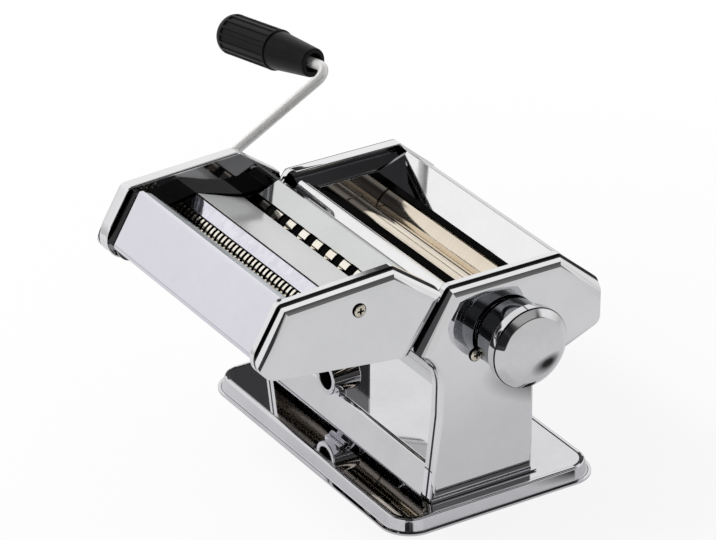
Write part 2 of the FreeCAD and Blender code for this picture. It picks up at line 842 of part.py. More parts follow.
def roller_gear(x, phase):
    """Gear on the far end of a smooth roller."""
    return gear(x, roller_z, roller_module, roller_teeth, phase, gear_y, gear_y + gear_width,
                roller_backlash, journal_r)


def near_bearing_block():
    """Near block: seat for the front roller's journal inside, slot for the eccentric pin outside."""
    x = front_roller_x
    inner_y = near_y - play
    outer_y = inner_y - near_block_depth
    solid = box(x - block_half, x + block_half, outer_y, inner_y, roller_z - block_half, roller_z + block_half)
    solid = solid.cut(rod(x, roller_z, journal_r + running, inner_y - journal_seat, inner_y + 1))
    half_width = eccentric_r + slot_clearance
    half_height = eccentric + eccentric_r + slot_clearance
    centre = x + eccentric
    return solid.cut(box(centre - half_width, centre + half_width, outer_y - 1, outer_y + slot_depth,
                         roller_z - half_height, roller_z + half_height))


def far_bearing_block():
    """Far block with the bore for the front roller's far journal."""
    x = front_roller_x
    low = zone_far_y + running
    solid = box(x - block_half, x + block_half, low, low + far_block_depth, roller_z - block_half,
                roller_z + block_half)
    return solid.cut(rod(x, roller_z, journal_r + running, low - 1, low + far_block_depth + 1))


def spindle_inner_y():
    """Inner end face of the adjuster spindle, just outside the near bearing block."""
    return near_y - play - near_block_depth - spindle_gap


def spindle_head_y():
    """Outer face of the spindle's head."""
    return hub_back_y() - hub_web_y - hub_web - spring_room() - head_thickness


def hub_back_y():
    """Back face of the knob's neck, just off the dial plate."""
    return -(face_y + dial_thickness + play)


def spring_room():
    """Room behind the spindle's head for the squeezed spring, its end gaps and the pull."""
    return spring_squeezed + 2 * spring_end_gap + knob_pull


def adjuster_spindle():
    """Spindle through the near plate, with an eccentric pin inside and a head outside."""
    inner = spindle_inner_y()
    head = spindle_head_y()
    solid = rod(front_roller_x, roller_z, spindle_r, head, inner)
    solid = solid.fuse(rod(front_roller_x, roller_z, head_r, head, head + head_thickness))
    pin = rod(front_roller_x + eccentric, roller_z, eccentric_r, inner, inner + spindle_gap + slot_depth - seat_gap)
    return solid.fuse(pin).removeSplitter()


def knob_bush():
    """Bush of the spindle in the near side plate."""
    inner = spindle_r + running
    return ring(front_roller_x, roller_z, inner + knob_bush_wall, inner, -(face_y + dial_thickness),
                -(face_y - plate_sheet))


def index_angle(step):
    """Angle of one of the index holes about the knob's axis."""
    return math.pi * step / (index_count - 1)


def dial_plate():
    """Round dial flange on the near plate with the index holes."""
    hole = spindle_r + running + knob_bush_wall
    solid = ring(front_roller_x, roller_z, dial_r, hole, -(face_y + dial_thickness), -face_y)
    for step in range(index_count):
        x = front_roller_x + index_circle_r * math.cos(index_angle(step))
        z = roller_z + index_circle_r * math.sin(index_angle(step))
        solid = solid.cut(rod(x, z, index_pin_r + index_hole_gap, -(face_y + dial_thickness) - 1, -face_y + 1))
    return solid


def knob_hub():
    """Neck of the knob, its web that slides on the spindle, and the index pin in the web."""
    back = hub_back_y()
    web = back - hub_web_y
    front = back - knob_neck_length
    profile = [(knob_neck_r, back), (knob_neck_r, front), (knob_neck_r - hub_wall, front),
               (knob_neck_r - hub_wall, web - hub_web), (spindle_r + running, web - hub_web),
               (spindle_r + running, web), (knob_neck_r - hub_wall, web), (knob_neck_r - hub_wall, back)]
    hub = turned(profile, front_roller_x, roller_z)
    tip = -(face_y + dial_thickness) - seat_gap
    return hub.fuse(rod(front_roller_x + index_circle_r, roller_z, index_pin_r, web, tip))


def knob_cap():
    """Domed cap: thin skirt, wide bevel and a low dome."""
    back = hub_back_y() - knob_neck_length
    edge = back - knob_skirt_length
    face = edge - knob_bevel_depth
    x, z = front_roller_x, roller_z
    dome_r = (knob_r - knob_bevel) ** 2 / (2 * knob_dome) + knob_dome / 2
    top = Vector(x, face - knob_dome, z)
    shoulder = Vector(x + knob_r - knob_bevel, face, z)
    half = (knob_r - knob_bevel) / 2
    middle = Vector(x + half, face - knob_dome + dome_r - math.sqrt(dome_r ** 2 - half ** 2), z)
    chain = [Vector(x + knob_r - knob_bevel, face, z), Vector(x + knob_r, edge, z), Vector(x + knob_r, back, z),
             Vector(x + knob_neck_r - hub_wall, back, z), Vector(x + knob_neck_r - hub_wall, face + knob_wall, z),
             Vector(x, face + knob_wall, z), top]
    edges = [Part.Arc(top, middle, shoulder).toShape()]
    for a, b in zip(chain, chain[1:]):
        edges.append(Part.LineSegment(a, b).toShape())
    wire = Part.Wire(edges)
    return Part.Face(wire).revolve(Vector(x, 0, z), Vector(0, 1, 0), 360)


def knob_spring():
    """Stack of cupped disc springs against the knob's web, drawn squeezed."""
    start = hub_back_y() - hub_web_y - hub_web - spring_end_gap
    pitch = (spring_squeezed + spring_disc_gap) / spring_discs
    cup = pitch - spring_disc_gap - spring_sheet
    discs = []
    for i in range(spring_discs):
        inner_y = start - pitch * i - (cup if i % 2 else 0.0)
        outer_y = start - pitch * i - (0.0 if i % 2 else cup)
        section = [(spring_inner_r, inner_y), (spring_outer_r, outer_y), (spring_outer_r, outer_y - spring_sheet),
                   (spring_inner_r, inner_y - spring_sheet)]
        discs.append(turned(section, front_roller_x, roller_z))
    return Part.makeCompound(discs)


def body_tie_rods():
    """Rods between the body's frames."""
    rods = [rod(x, z, rod_r, near_y, zone_far_y) for x, z in body_rods]
    return Part.makeCompound(rods)


def side_pillars(near_place, far_place):
    """Spacers between the side plates and the frames at the side screws."""
    near = pillar(near_place[0], near_place[1], -(face_y - plate_sheet), near_y - frame_sheet)
    far = pillar(far_place[0], far_place[1], zone_far_y + frame_sheet, face_y - plate_sheet)
    return Part.makeCompound([near, far])


def side_screws(near_place, far_place):
    """One screw through each side plate, its pillar and the inner frame."""
    near = cross_screw(near_place[0], near_place[1], -1, face_y + near_y)
    far = cross_screw(far_place[0], far_place[1], 1, face_y - zone_far_y)
    return Part.makeCompound([near, far])


def body_side_fasteners():
    """Side screws of the body and the small pin beside the near one."""
    x, z = pin_place
    pin = rod(x, z, pin_r, -(face_y + pin_proud), near_y - frame_sheet)
    return Part.makeCompound(side_screws(body_screw, body_screw).Solids + [pin])


def crossbar():
    """Channel between the legs on the base."""
    top = base_top + crossbar_height
    path = [(crossbar_front_x, base_top), (crossbar_front_x, top), (crossbar_rear_x, top),
            (crossbar_rear_x, base_top)]
    other, other_radii = offset_path(path, [0.0, crossbar_r, crossbar_rear_r, 0.0], -crossbar_sheet, False)
    outer = slab(path, [0.0, crossbar_r, crossbar_rear_r, 0.0], near_y, open_y)
    return outer.cut(slab(other, other_radii, near_y - 1, open_y + 1))


def clamp_socket():
    """Tube on the crossbar that takes the pin of the table clamp, on its saddle."""
    shelf = base_top + crossbar_height
    centre = shelf + clamp_tube_r
    start = Vector(crossbar_front_x, clamp_y, centre)
    tube = Part.makeCylinder(clamp_tube_r, clamp_tube_length, start, Vector(1, 0, 0))
    saddle = box(crossbar_front_x + crossbar_r, crossbar_rear_x - crossbar_rear_r, clamp_y - saddle_width / 2,
                 clamp_y + saddle_width / 2, shelf, centre)
    bore = Part.makeCylinder(clamp_bore_r, clamp_tube_length + 2, start - Vector(1, 0, 0), Vector(1, 0, 0))
    return tube.fuse(saddle).cut(bore).removeSplitter()


def guide_rails():
    """Two T-shaped rails on the body's slope, each with a stop at its foot."""
    rails = []
    floor = -cover_inset
    end = rail_start + rail_length
    for y in rail_places:
        stem = slope_block(rail_start, end, floor, rail_stem_height, y - rail_stem / 2, y + rail_stem / 2)
        head = slope_block(rail_start, end, rail_stem_height, rail_stem_height + rail_head_height,
                           y - rail_head / 2, y + rail_head / 2)
        stop = slope_block(rail_start - stop_length, rail_start, floor, rail_stem_height + rail_head_height,
                           y - rail_head / 2, y + rail_head / 2)
        rails.append(stem.fuse([head, stop]).removeSplitter())
    return Part.makeCompound(rails)


def mounting_hooks():
    """Hooks of the attachment that slide over the rails."""
    hooks = []
    gap = hook_clearance
    start = rail_start + gap
    for y, frame_y in zip(rail_places, (near_y, zone_far_y)):
        low = min(y - hook_width / 2, frame_y)
        high = max(y + hook_width / 2, frame_y)
        block = slope_block(start, start + hook_length, hook_floor, hook_floor + hook_height, low, high)
        stem = slope_block(start - 1, start + hook_length + 1, -1.0, rail_stem_height,
                           y - rail_stem / 2 - gap, y + rail_stem / 2 + gap)
        head = slope_block(start - 1, start + hook_length + 1, rail_stem_height - gap,
                           rail_stem_height + rail_head_height + gap, y - rail_head / 2 - gap,
                           y + rail_head / 2 + gap)
        hooks.append(block.cut(stem).cut(head))
    return Part.makeCompound(hooks)


def cutter_axes():
    """Axis places of the four cutter rolls: fine front, fine rear, wide front, wide rear."""
    return [fine_axis, (fine_axis[0] + cutter_spacing, fine_axis[1]), wide_axis,
            (wide_axis[0] + cutter_spacing, wide_axis[1])]


def attachment_plate(side):
    """Side plate of the attachment."""
    solid = tray(attachment_outline(), [1, 2, 3, 4], side, 0.0)
    x, z = attachment_screw if side < 0 else attachment_far_screw
    solid = solid.cut(rod(x, z, screw_shank_r, side * open_y, side * (face_y + 5)))
    if side > 0:
        for x, z in (cutter_axes()[1], cutter_axes()[2]):
            solid = solid.cut(socket_hole(x, z))
    return solid


def drill_attachment_frame(solid, y0, screw):
    """Holes for the bushes, the tie rods and the side screw."""
    for x, z in cutter_axes():
        solid = solid.cut(rod(x, z, cutter_journal_r + running + cutter_bush_wall, y0 - 1, y0 + frame_sheet + 1))
    for x, z in attachment_rods + [screw]:
        solid = solid.cut(rod(x, z, screw_shank_r, y0 - 1, y0 + frame_sheet + 1))
    return solid


def attachment_near_frame():
    """Near inner frame of the attachment, inside the near plate."""
    points, radii = attachment_outline()
    inner, inner_radii = offset_path(points, radii, plate_sheet + running, True)
    y0 = near_y - frame_sheet
    return drill_attachment_frame(slab(inner, inner_radii, y0, y0 + frame_sheet), y0, attachment_screw)


def attachment_far_frame():
    """Far inner frame of the attachment, cut to the profile under the gear cover."""
    points, radii = attachment_outline()
    inner, _ = offset_path(points, radii, plate_sheet + seat_gap, True)
    under, _ = offset_path(gear_cover_path, [0.0] * len(gear_cover_path), -cover_sheet - seat_gap, False)
    path = [inner[0], inner[1]] + list(reversed(under))
    y0 = zone_far_y
    radii = [far_frame_low_r, far_frame_rear_r] + [0.0] * len(under)
    return drill_attachment_frame(slab(path, radii, y0, y0 + frame_sheet), y0, attachment_far_screw)


def attachment_far_liner():
    """Flat liner that closes the far plate's open side."""
    points, radii = attachment_outline()
    inner, inner_radii = offset_path(points, radii, plate_sheet + running, True)
    solid = slab(inner, inner_radii, open_y, open_y + plate_sheet)
    for x, z in (cutter_axes()[1], cutter_axes()[2]):
        solid = solid.cut(rod(x, z, socket_r + socket_hole_gap, open_y - 1, open_y + plate_sheet + 1))
    x, z = attachment_far_screw
    return solid.cut(rod(x, z, rod_r, open_y - 1, open_y + plate_sheet + 1))


def attachment_front_cover():
    """Front cover: curled lower edge, tall front, folded top edge and inner slope."""
    return bent_sheet(front_cover_path, [0.0, front_low_bend_r, front_top_bend_r, 0.0], -cover_sheet, near_y, zone_far_y)


def attachment_middle_cover():
    """Middle cover between the two slots."""
    return bent_sheet(middle_cover_path, [0.0, cover_bend_r, 0.0], -cover_sheet, near_y, zone_far_y)


def attachment_rear_cover():
    """Rear cover with a short flange turned down."""
    return bent_sheet(rear_cover_path, [0.0, cover_bend_r, 0.0], -cover_sheet, near_y, zone_far_y)


def attachment_gear_cover():
    """Strip over the cutter gears between the far frame and the far plate."""
    radii = [0.0] + [gear_cover_bend_r] * (len(gear_cover_path) - 2) + [0.0]
    return bent_sheet(gear_cover_path, radii, -cover_sheet, zone_far_y + frame_sheet, open_y)


def attachment_tie_rods():
    """Rods between the attachment's frames."""
    return Part.makeCompound([rod(x, z, rod_r, near_y, zone_far_y) for x, z in attachment_rods])


def cutter_bushes():
    """Bearing bushes of the four cutter rolls in both frames."""
    inner = cutter_journal_r + running
    bushes = []
    for x, z in cutter_axes():
        bushes.append(ring(x, z, inner + cutter_bush_wall, inner, near_y - bush_length, near_y))
        bushes.append(ring(x, z, inner + cutter_bush_wall, inner, zone_far_y, zone_far_y + bush_length))
    return Part.makeCompound(bushes)


def cutter_gear(axis, phase):
    """Gear on the far end of a cutter roll."""
    x, z = axis
    return gear(x, z, cutter_module, cutter_teeth, phase, gear_y, gear_y + gear_width, cutter_backlash,
                cutter_journal_r)


def crank_rod():
    """Bent rod of the crank, from its flatted plug to the spindle inside the grip."""
    x, z = wide_axis
    mouth = face_y + socket_proud
    first = Vector(x, mouth, z)
    low = Vector(x, arm_y, z)
    high = Vector(crank_corner[0], arm_y, crank_corner[1])
    way = Vector(*grip_way).normalize()
    last = high + way * (grip_start + grip_length - grip_cap - rod_end_gap)
    places = [first, low, high, last]
    edges = []
    start = first
    for i in (1, 2):
        back = (places[i - 1] - places[i]).normalize()
        ahead = (places[i + 1] - places[i]).normalize()
        half = math.acos(back.dot(ahead)) / 2
        reach = crank_bend_r / math.tan(half)
        depth = crank_bend_r / math.sin(half) - crank_bend_r
        arc_start = places[i] + back * reach
        arc_end = places[i] + ahead * reach
        middle = places[i] + (back + ahead).normalize() * depth
        edges.append(Part.LineSegment(start, arc_start).toShape())
        edges.append(Part.Arc(arc_start, middle, arc_end).toShape())
        start = arc_end
    edges.append(Part.LineSegment(start, last).toShape())
    circle = Part.Wire(Part.Circle(first, Vector(0, 1, 0), rod_crank_r).toShape())
    bar = Part.Wire(edges).makePipeShell([circle], True, False)
    plug = flatted_rod(x, z, plug_r, plug_flat, mouth - socket_depth + play, mouth)
    return bar.fuse(plug)


def along_grip(shape):
    """Turns a shape made along +Z from the grip's open face into its place on the crank."""
    way = Vector(*grip_way).normalize()
    shape.Placement = FreeCAD.Placement(Vector(crank_corner[0], arm_y, crank_corner[1]) + way * grip_start,
                                        FreeCAD.Rotation(Vector(0, 0, 1), way))
    return shape


def crank_grip():
    """Ribbed grip with a tapered inner end, an open mouth and a rounded outer end."""
    bore = rod_crank_r + running
    flat_r = grip_r - grip_end_r
    pocket_r = retainer_r + retainer_gap
    pocket_top = grip_length - grip_cap
    pocket_floor = pocket_top - retainer_thickness - retainer_room
    edges = []
    chain = [(bore, grip_mouth_depth), (grip_mouth_r, grip_mouth_depth), (grip_mouth_r, 0.0),
             (grip_face_r - grip_lip, 0.0), (grip_face_r, grip_lip), (grip_neck_r, grip_taper), (grip_r, grip_taper),
             (grip_r, grip_length - grip_end_r)]
    for a, b in zip(chain, chain[1:]):
        edges.append(Part.LineSegment(Vector(a[0], 0, a[1]), Vector(b[0], 0, b[1])).toShape())
    lean = grip_end_r * math.sqrt(0.5)
    edges.append(Part.Arc(Vector(grip_r, 0, grip_length - grip_end_r),
                          Vector(flat_r + lean, 0, grip_length - grip_end_r + lean),
                          Vector(flat_r, 0, grip_length)).toShape())
    tail = [(flat_r, grip_length), (0.0, grip_length), (0.0, pocket_top), (pocket_r, pocket_top),
            (pocket_r, pocket_floor), (bore, pocket_floor), (bore, grip_mouth_depth)]
    for a, b in zip(tail, tail[1:]):
        edges.append(Part.LineSegment(Vector(a[0], 0, a[1]), Vector(b[0], 0, b[1])).toShape())
    solid = Part.Face(Part.Wire(edges)).revolve(Vector(0, 0, 0), Vector(0, 0, 1), 360)
    for i in range(grip_flutes):
        angle = 2 * math.pi * i / grip_flutes
        reach = grip_r + grip_flute_out
        start = Vector(reach * math.cos(angle), reach * math.sin(angle), grip_taper + grip_flute_start)
        length = grip_length - grip_taper - grip_flute_start - grip_flute_end
        flute = Part.makeCylinder(grip_flute_r, length, start)
        solid = solid.cut(flute)
    return along_grip(solid)


def grip_retainer():
    """Ring at the end of the crank rod that keeps the grip on it."""
    top = grip_length - grip_cap - rod_end_gap
    washer = Part.makeCylinder(retainer_r, retainer_thickness, Vector(0, 0, top - retainer_thickness))
    hole = Part.makeCylinder(rod_crank_r, retainer_thickness + 2, Vector(0, 0, top - retainer_thickness - 1))
    return along_grip(washer.cut(hole))


def nodes():
    """Every node's name and shape."""
    fine_front, fine_rear, wide_front, wide_rear = cutter_axes()
    parts = {
        "base_plate": base_plate(),
        "rubber_feet": rubber_feet(),
        "base_screws": base_screws(),
        "foot_pads": foot_pads(),
        "near_side_plate": body_plate(-1),
        "far_side_plate": body_plate(1),
        "near_inner_frame": body_frame(False),
        "far_inner_frame": body_frame(True),
        "far_side_liner": far_side_liner(),
        "front_lower_guard": front_lower_guard(),
        "front_guide": front_guide(),
        "rear_guide": rear_guide(),
        "rear_cover": rear_cover(),
        "far_cheek": far_cheek(),
        "roller_scrapers": roller_scrapers(),
        "rear_roller_bushes": rear_roller_bushes(),
        "body_tie_rods": body_tie_rods(),
        "body_side_pillars": side_pillars(body_screw, body_screw),
        "body_side_fasteners": body_side_fasteners(),
        "crossbar": crossbar(),
        "clamp_socket": clamp_socket(),
        "guide_rails": guide_rails(),
        "knob_bush": knob_bush(),
        "dial_plate": dial_plate(),
        "rear_roller": rear_roller(),
        "rear_roller_gear": roller_gear(rear_roller_x, mesh_phase(roller_teeth)),
        "near_bearing_block": near_bearing_block(),
        "far_bearing_block": far_bearing_block(),
        "front_roller": front_roller(),
        "front_roller_gear": roller_gear(front_roller_x, 0.0),
        "adjuster_spindle": adjuster_spindle(),
        "knob_hub": knob_hub(),
        "knob_cap": knob_cap(),
        "knob_spring": knob_spring(),
        "attachment_near_plate": attachment_plate(-1),
        "attachment_far_plate": attachment_plate(1),
        "attachment_near_frame": attachment_near_frame(),
        "attachment_far_frame": attachment_far_frame(),
        "attachment_far_liner": attachment_far_liner(),
        "attachment_front_cover": attachment_front_cover(),
        "attachment_middle_cover": attachment_middle_cover(),
        "attachment_rear_cover": attachment_rear_cover(),
        "attachment_gear_cover": attachment_gear_cover(),
        "attachment_tie_rods": attachment_tie_rods(),
        "attachment_side_pillars": side_pillars(attachment_screw, attachment_far_screw),
        "attachment_side_screws": side_screws(attachment_screw, attachment_far_screw),
        "mounting_hooks": mounting_hooks(),
        "cutter_bushes": cutter_bushes(),
        "cutter_combs": Part.makeCompound([
            comb(fine_front[0], fine_front[1], fine_pitch, 1), comb(fine_rear[0], fine_rear[1], fine_pitch, 0),
            comb(wide_front[0], wide_front[1], wide_pitch, 1), comb(wide_rear[0], wide_rear[1], wide_pitch, 0)]),
        "fine_front_cutter": cutter_roll(fine_front[0], fine_front[1], fine_pitch, 0, False),
        "fine_rear_cutter": cutter_roll(fine_rear[0], fine_rear[1], fine_pitch, 1, True),
        "wide_front_cutter": cutter_roll(wide_front[0], wide_front[1], wide_pitch, 0, True),
        "wide_rear_cutter": cutter_roll(wide_rear[0], wide_rear[1], wide_pitch, 1, False),
        "crank_rod": crank_rod(),
        "grip_retainer": grip_retainer(),
        "crank_grip": crank_grip(),
        "fine_front_gear": cutter_gear(fine_front, 0.0),
        "fine_rear_gear": cutter_gear(fine_rear, mesh_phase(cutter_teeth)),
        "wide_front_gear": cutter_gear(wide_front, 0.0),
        "wide_rear_gear": cutter_gear(wide_rear, mesh_phase(cutter_teeth)),
    }
    return parts


os.makedirs("parts", exist_ok=True)
for node_name, node_shape in nodes().items():
    node_shape.exportStep("parts/" + node_name + ".step")
    print(node_name, len(node_shape.Solids), round(node_shape.Volume, 1), node_shape.isValid())
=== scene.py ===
"""Chromed hand-cranked pasta machine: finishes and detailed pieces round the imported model."""

from __future__ import annotations

import json
import logging
import math
from dataclasses import dataclass
from enum import Enum
from typing import Any, Callable, Sequence

import bmesh
import bpy
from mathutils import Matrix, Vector

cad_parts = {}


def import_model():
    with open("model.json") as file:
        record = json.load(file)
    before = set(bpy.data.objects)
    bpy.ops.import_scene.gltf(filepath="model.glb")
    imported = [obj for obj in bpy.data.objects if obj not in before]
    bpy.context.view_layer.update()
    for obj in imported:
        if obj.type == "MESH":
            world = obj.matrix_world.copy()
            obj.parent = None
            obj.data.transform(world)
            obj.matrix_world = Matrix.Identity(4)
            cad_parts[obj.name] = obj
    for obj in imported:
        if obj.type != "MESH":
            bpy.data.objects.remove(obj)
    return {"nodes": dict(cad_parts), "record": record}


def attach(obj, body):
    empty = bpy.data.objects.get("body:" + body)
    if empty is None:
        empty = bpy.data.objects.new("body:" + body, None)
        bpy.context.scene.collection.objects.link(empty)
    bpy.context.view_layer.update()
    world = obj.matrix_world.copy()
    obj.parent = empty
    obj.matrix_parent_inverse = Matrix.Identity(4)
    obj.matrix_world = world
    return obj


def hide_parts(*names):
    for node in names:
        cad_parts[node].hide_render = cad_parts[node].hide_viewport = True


MM = 0.001  # sizes are in millimetres, and Blender's are in metres
LOG = logging.getLogger("pasta_machine")

# Places along Y that more than one sub-assembly uses, from the middle plane outward
FENCE_Y = 66.5  # far end of the covers and of the hopper's sheets
LIP_LOW, LIP_HIGH = 74.4, 83.2  # edges of the lips on the far plates
OPEN_Y = 79.0  # open edge of a side plate
FLANGE = 4.1  # from the open edge to the end of a plate's flange
FACET = 8.1  # from the open edge to the outer bend of a plate's border
CREASE_START, CREASE_END = 3.6, 5.4  # painted shade in the crease beside the flange, from the open edge
FACE_Y = 88.5  # outer face of a side plate
SHEET = 0.8  # thickness of the covers and lips
LIP_CROWN = 0.4  # how much lower a lip's edges are than its middle

LINE_WIDTH = 0.02  # an edge or a corner this close to a place counts as being there
LEAST_FOLD = 0.2  # radians between the faces of a bend line
LEAST_DROP = 0.001  # a row of a lip that would go down less than this stays
LAST_ROW = 0.3  # width in which a strip's rounded edge belongs to its last row

Point = tuple[float, float]
Path = Sequence[Point]
Place = tuple[float, float, float]
Colour = tuple[float, float, float]
Piece = bpy.types.Object


class Side(Enum):
    """Side of the machine: the knob is on the near side, the crank on the far side."""

    NEAR = -1
    FAR = 1


class Kind(Enum):
    """What is selected in edit mode, as the three switches of the selection mode."""

    VERTS = (True, False, False)
    EDGES = (False, True, False)
    FACES = (False, False, True)


class Grain(Enum):
    """Direction in which a metal was brushed or ground, as stretch factors for its pattern."""

    ALONG_Y = (1.0, 0.02, 1.0)
    ROUND_Y = (0.0, 1.0, 0.0)
    NONE = (1.0, 1.0, 1.0)


# Shader maths


class Link:
    """Output socket of a shader node that takes part in Python expressions."""

    def __init__(self, shader: "Shader", socket: bpy.types.NodeSocket) -> None:
        """Keeps the socket and the shader that it belongs to."""
        self.shader = shader
        self.socket = socket

    def _math(self, operation: str, first: Any, second: Any) -> "Link":
        """Adds a Math node.

        Args:
            operation: name of the Math node's operation.
            first: first value or link.
            second: second value or link.

        Returns:
            The node's result.
        """
        return self.shader.node("Math", {"operation": operation}, {0: first, 1: second})

    def __add__(self, other: Any) -> "Link":
        """Sum."""
        return self._math("ADD", self, other)

    def __radd__(self, other: Any) -> "Link":
        """Sum with the link on the right."""
        return self._math("ADD", other, self)

    def __sub__(self, other: Any) -> "Link":
        """Difference."""
        return self._math("SUBTRACT", self, other)

    def __rsub__(self, other: Any) -> "Link":
        """Difference with the link on the right."""
        return self._math("SUBTRACT", other, self)

    def __mul__(self, other: Any) -> "Link":
        """Product."""
        return self._math("MULTIPLY", self, other)

    def __rmul__(self, other: Any) -> "Link":
        """Product with the link on the right."""
        return self._math("MULTIPLY", other, self)


class Shader:
    """Builds one node tree for a material or the world."""

    def __init__(self, tree: bpy.types.NodeTree) -> None:
        """Takes over the tree and empties it."""
        self.tree = tree
        tree.nodes.clear()

    def node(self, kind: str, settings: dict[str, Any] | None = None,
             inputs: dict[Any, Any] | None = None, output: Any = 0) -> Link:
        """Adds a node.

        Args:
            kind: node type without the word ShaderNode.
            settings: properties of the node, set before its sockets.
            inputs: values or links by socket name or index.
            output: name or index of the output wanted.

        Returns:
            The wanted output as a link.
        """
        made = self.tree.nodes.new("ShaderNode" + kind)
        for key, value in (settings or {}).items():
            setattr(made, key, value)
        for key, value in (inputs or {}).items():
            if isinstance(value, Link):
                self.tree.links.new(value.socket, made.inputs[key])
            else:
                made.inputs[key].default_value = value
        return Link(self, made.outputs[output])

    def mix(self, factor: Any, low: Any, high: Any) -> Link:
        """Mixes two colours.

        Args:
            factor: share of the second colour.
            low: first colour or link.
            high: second colour or link.

        Returns:
            The mixed colour.
        """
        # with colours the node's inputs are 6 and 7, and its result is output 2
        full = {key: value if isinstance(value, Link) else (*value, 1.0)
                for key, value in ((6, low), (7, high))}
        return self.node("Mix", {"data_type": "RGBA"}, {0: factor, **full}, 2)

    def spread(self, value: Link, low: float, high: float, to_low: float = 0.0,
               to_high: float = 1.0) -> Link:
        """Maps a value from one range to another and clamps it.

        Args:
            value: link to map.
            low: start of the range that comes in.
            high: end of the range that comes in.
            to_low: start of the range that goes out.
            to_high: end of the range that goes out.

        Returns:
            The mapped value.
        """
        return self.node("MapRange", {"clamp": True},
                         {0: value, 1: low, 2: high, 3: to_low, 4: to_high})

    def noise(self, scale: float, detail: float,
              stretch: Sequence[float] = Grain.NONE.value) -> Link:
        """Noise on Object coordinates.

        Args:
            scale: cells per metre.
            detail: finer layers.
            stretch: factors along X, Y and Z.

        Returns:
            The noise value.
        """
        place = self.node("TexCoord", output="Object")
        mapped = self.node("Mapping", {}, {"Vector": place, "Scale": tuple(stretch)})
        return self.node("TexNoise", {}, {"Vector": mapped, "Scale": scale, "Detail": detail})

    def bump(self, height: Link, distance: float, under: Link | None = None) -> Link:
        """Bump from a height.

        Args:
            height: height link from 0 to 1.
            distance: height in metres that 1 stands for.
            under: normal of another bump below this one.

        Returns:
            The bent normal.
        """
        inputs: dict[Any, Any] = {"Height": height, "Strength": 1.0, "Distance": distance}
        if under is not None:
            inputs["Normal"] = under
        return self.node("Bump", {}, inputs)

    def ramp(self, value: Link, stops: Path) -> Link:
        """Grey ramp.

        Args:
            value: link that runs along the ramp.
            stops: place and grey level of each stop.

        Returns:
            The ramp's colour.
        """
        made = self.node("ValToRGB", {}, {"Fac": value})
        band = made.socket.node.color_ramp
        while len(band.elements) < len(stops):
            band.elements.new(0.5)
        for held, (place, level) in zip(band.elements, stops):
            held.position = place
            held.color = (level, level, level, 1.0)
        return made

    def surface(self, surface: Link, output: str = "OutputMaterial") -> None:
        """Joins a surface to a new output node of the given type."""
        out = self.tree.nodes.new("ShaderNode" + output)
        self.tree.links.new(surface.socket, out.inputs["Surface"])


@dataclass(frozen=True)
class Finish:
    """Finish of a surface, from which one material is made."""

    name: str
    slot: str
    colour: Colour
    tint: Colour
    metallic: float = 1.0
    rough: tuple[float, float] = (0.04, 0.1)
    cloud_scale: float = 35.0
    grain: Grain = Grain.NONE
    grain_scale: float = 900.0
    grain_height: float = 0.0
    wave_height: float = 0.0
    wave_scale: float = 30.0
    streak: float = 0.0
    specular: float = 0.5

    def material(self) -> bpy.types.Material:
        """Returns the material, which is made the first time it is asked for."""
        if self not in MADE:
            MADE[self] = self._make()
        return MADE[self]

    def _make(self) -> bpy.types.Material:
        """Builds the node tree.

        Returns:
            The new material.
        """
        made = bpy.data.materials.new(self.name + "_finish")
        made.use_nodes = True
        shader = Shader(made.node_tree)
        cloud = shader.spread(shader.noise(self.cloud_scale, 3.0), 0.35, 0.65)
        smear = shader.spread(shader.noise(self.cloud_scale * 6.0, 4.0), 0.45, 0.7)
        line = shader.noise(self.grain_scale, 2.0, self.grain.value)
        colour = shader.mix(cloud * 0.7 + smear * 0.3, self.colour, self.tint)
        if self.streak > 0.0:
            dark = tuple(0.55 * c for c in self.colour)
            colour = shader.mix(shader.spread(line, 0.3, 0.7, 0.0, self.streak), colour, dark)
        low, high = self.rough
        roughness = shader.spread(cloud * 0.55 + smear * 0.45, 0.0, 1.0, low, high)
        normal = None
        if self.wave_height > 0.0:
            normal = shader.bump(shader.noise(self.wave_scale, 1.0), self.wave_height)
        if self.grain_height > 0.0:
            normal = shader.bump(line, self.grain_height, normal)
        inputs: dict[Any, Any] = {"Base Color": colour, "Roughness": roughness,
                                  "Metallic": self.metallic, "Specular IOR Level": self.specular}
        if normal is not None:
            inputs["Normal"] = normal
        shader.surface(shader.node("BsdfPrincipled", {}, inputs))
        return made

    def dress(self, *pieces: Piece) -> None:
        """Gives the finish to pieces."""
        for piece in pieces:
            if piece.material_slots:
                for held in piece.material_slots:
                    held.material = self.material()
            else:
                piece.data.materials.append(self.material())


MADE: dict[Finish, bpy.types.Material] = {}

CHROME_PLATE = Finish("plate_chrome", "plate_chrome", (0.86, 0.86, 0.87), (0.82, 0.822, 0.835),
                      rough=(0.025, 0.06), wave_height=0.000008, wave_scale=22.0)
CHROME_COVER = Finish("cover_chrome", "cover_chrome", (0.80, 0.79, 0.855), (0.765, 0.755, 0.82),
                      rough=(0.03, 0.08), wave_height=0.000012, wave_scale=26.0)
CHROME_BASE = Finish("base_chrome", "base_chrome", (0.74, 0.735, 0.76), (0.68, 0.675, 0.70),
                     rough=(0.02, 0.05), wave_height=0.00001, wave_scale=20.0)
CHROME_KNOB = Finish("knob_chrome", "knob_chrome", (0.78, 0.78, 0.79), (0.72, 0.72, 0.735),
                     rough=(0.04, 0.09), cloud_scale=90.0)
# painted shade: near-black chrome for the dark lines of shade in creases, folds and edges
PAINTED_CREASE_SHADE = Finish("painted_crease_shade", "plate_chrome", (0.02, 0.02, 0.021), (0.035, 0.035, 0.037),
                       rough=(0.1, 0.2), cloud_scale=90.0)
# painted shade: chrome darkened to stand in for the shade inside the machine
LINER_PAINTED_SHADE = Finish("liner_painted_shade", "dark_sheet", (0.34, 0.34, 0.35), (0.28, 0.28, 0.29),
                      rough=(0.05, 0.1), wave_height=0.00001, wave_scale=24.0)
NECK_CHROME = Finish("neck_chrome", "knob_chrome", (0.22, 0.225, 0.24), (0.16, 0.165, 0.18),
                     rough=(0.05, 0.12), cloud_scale=120.0)
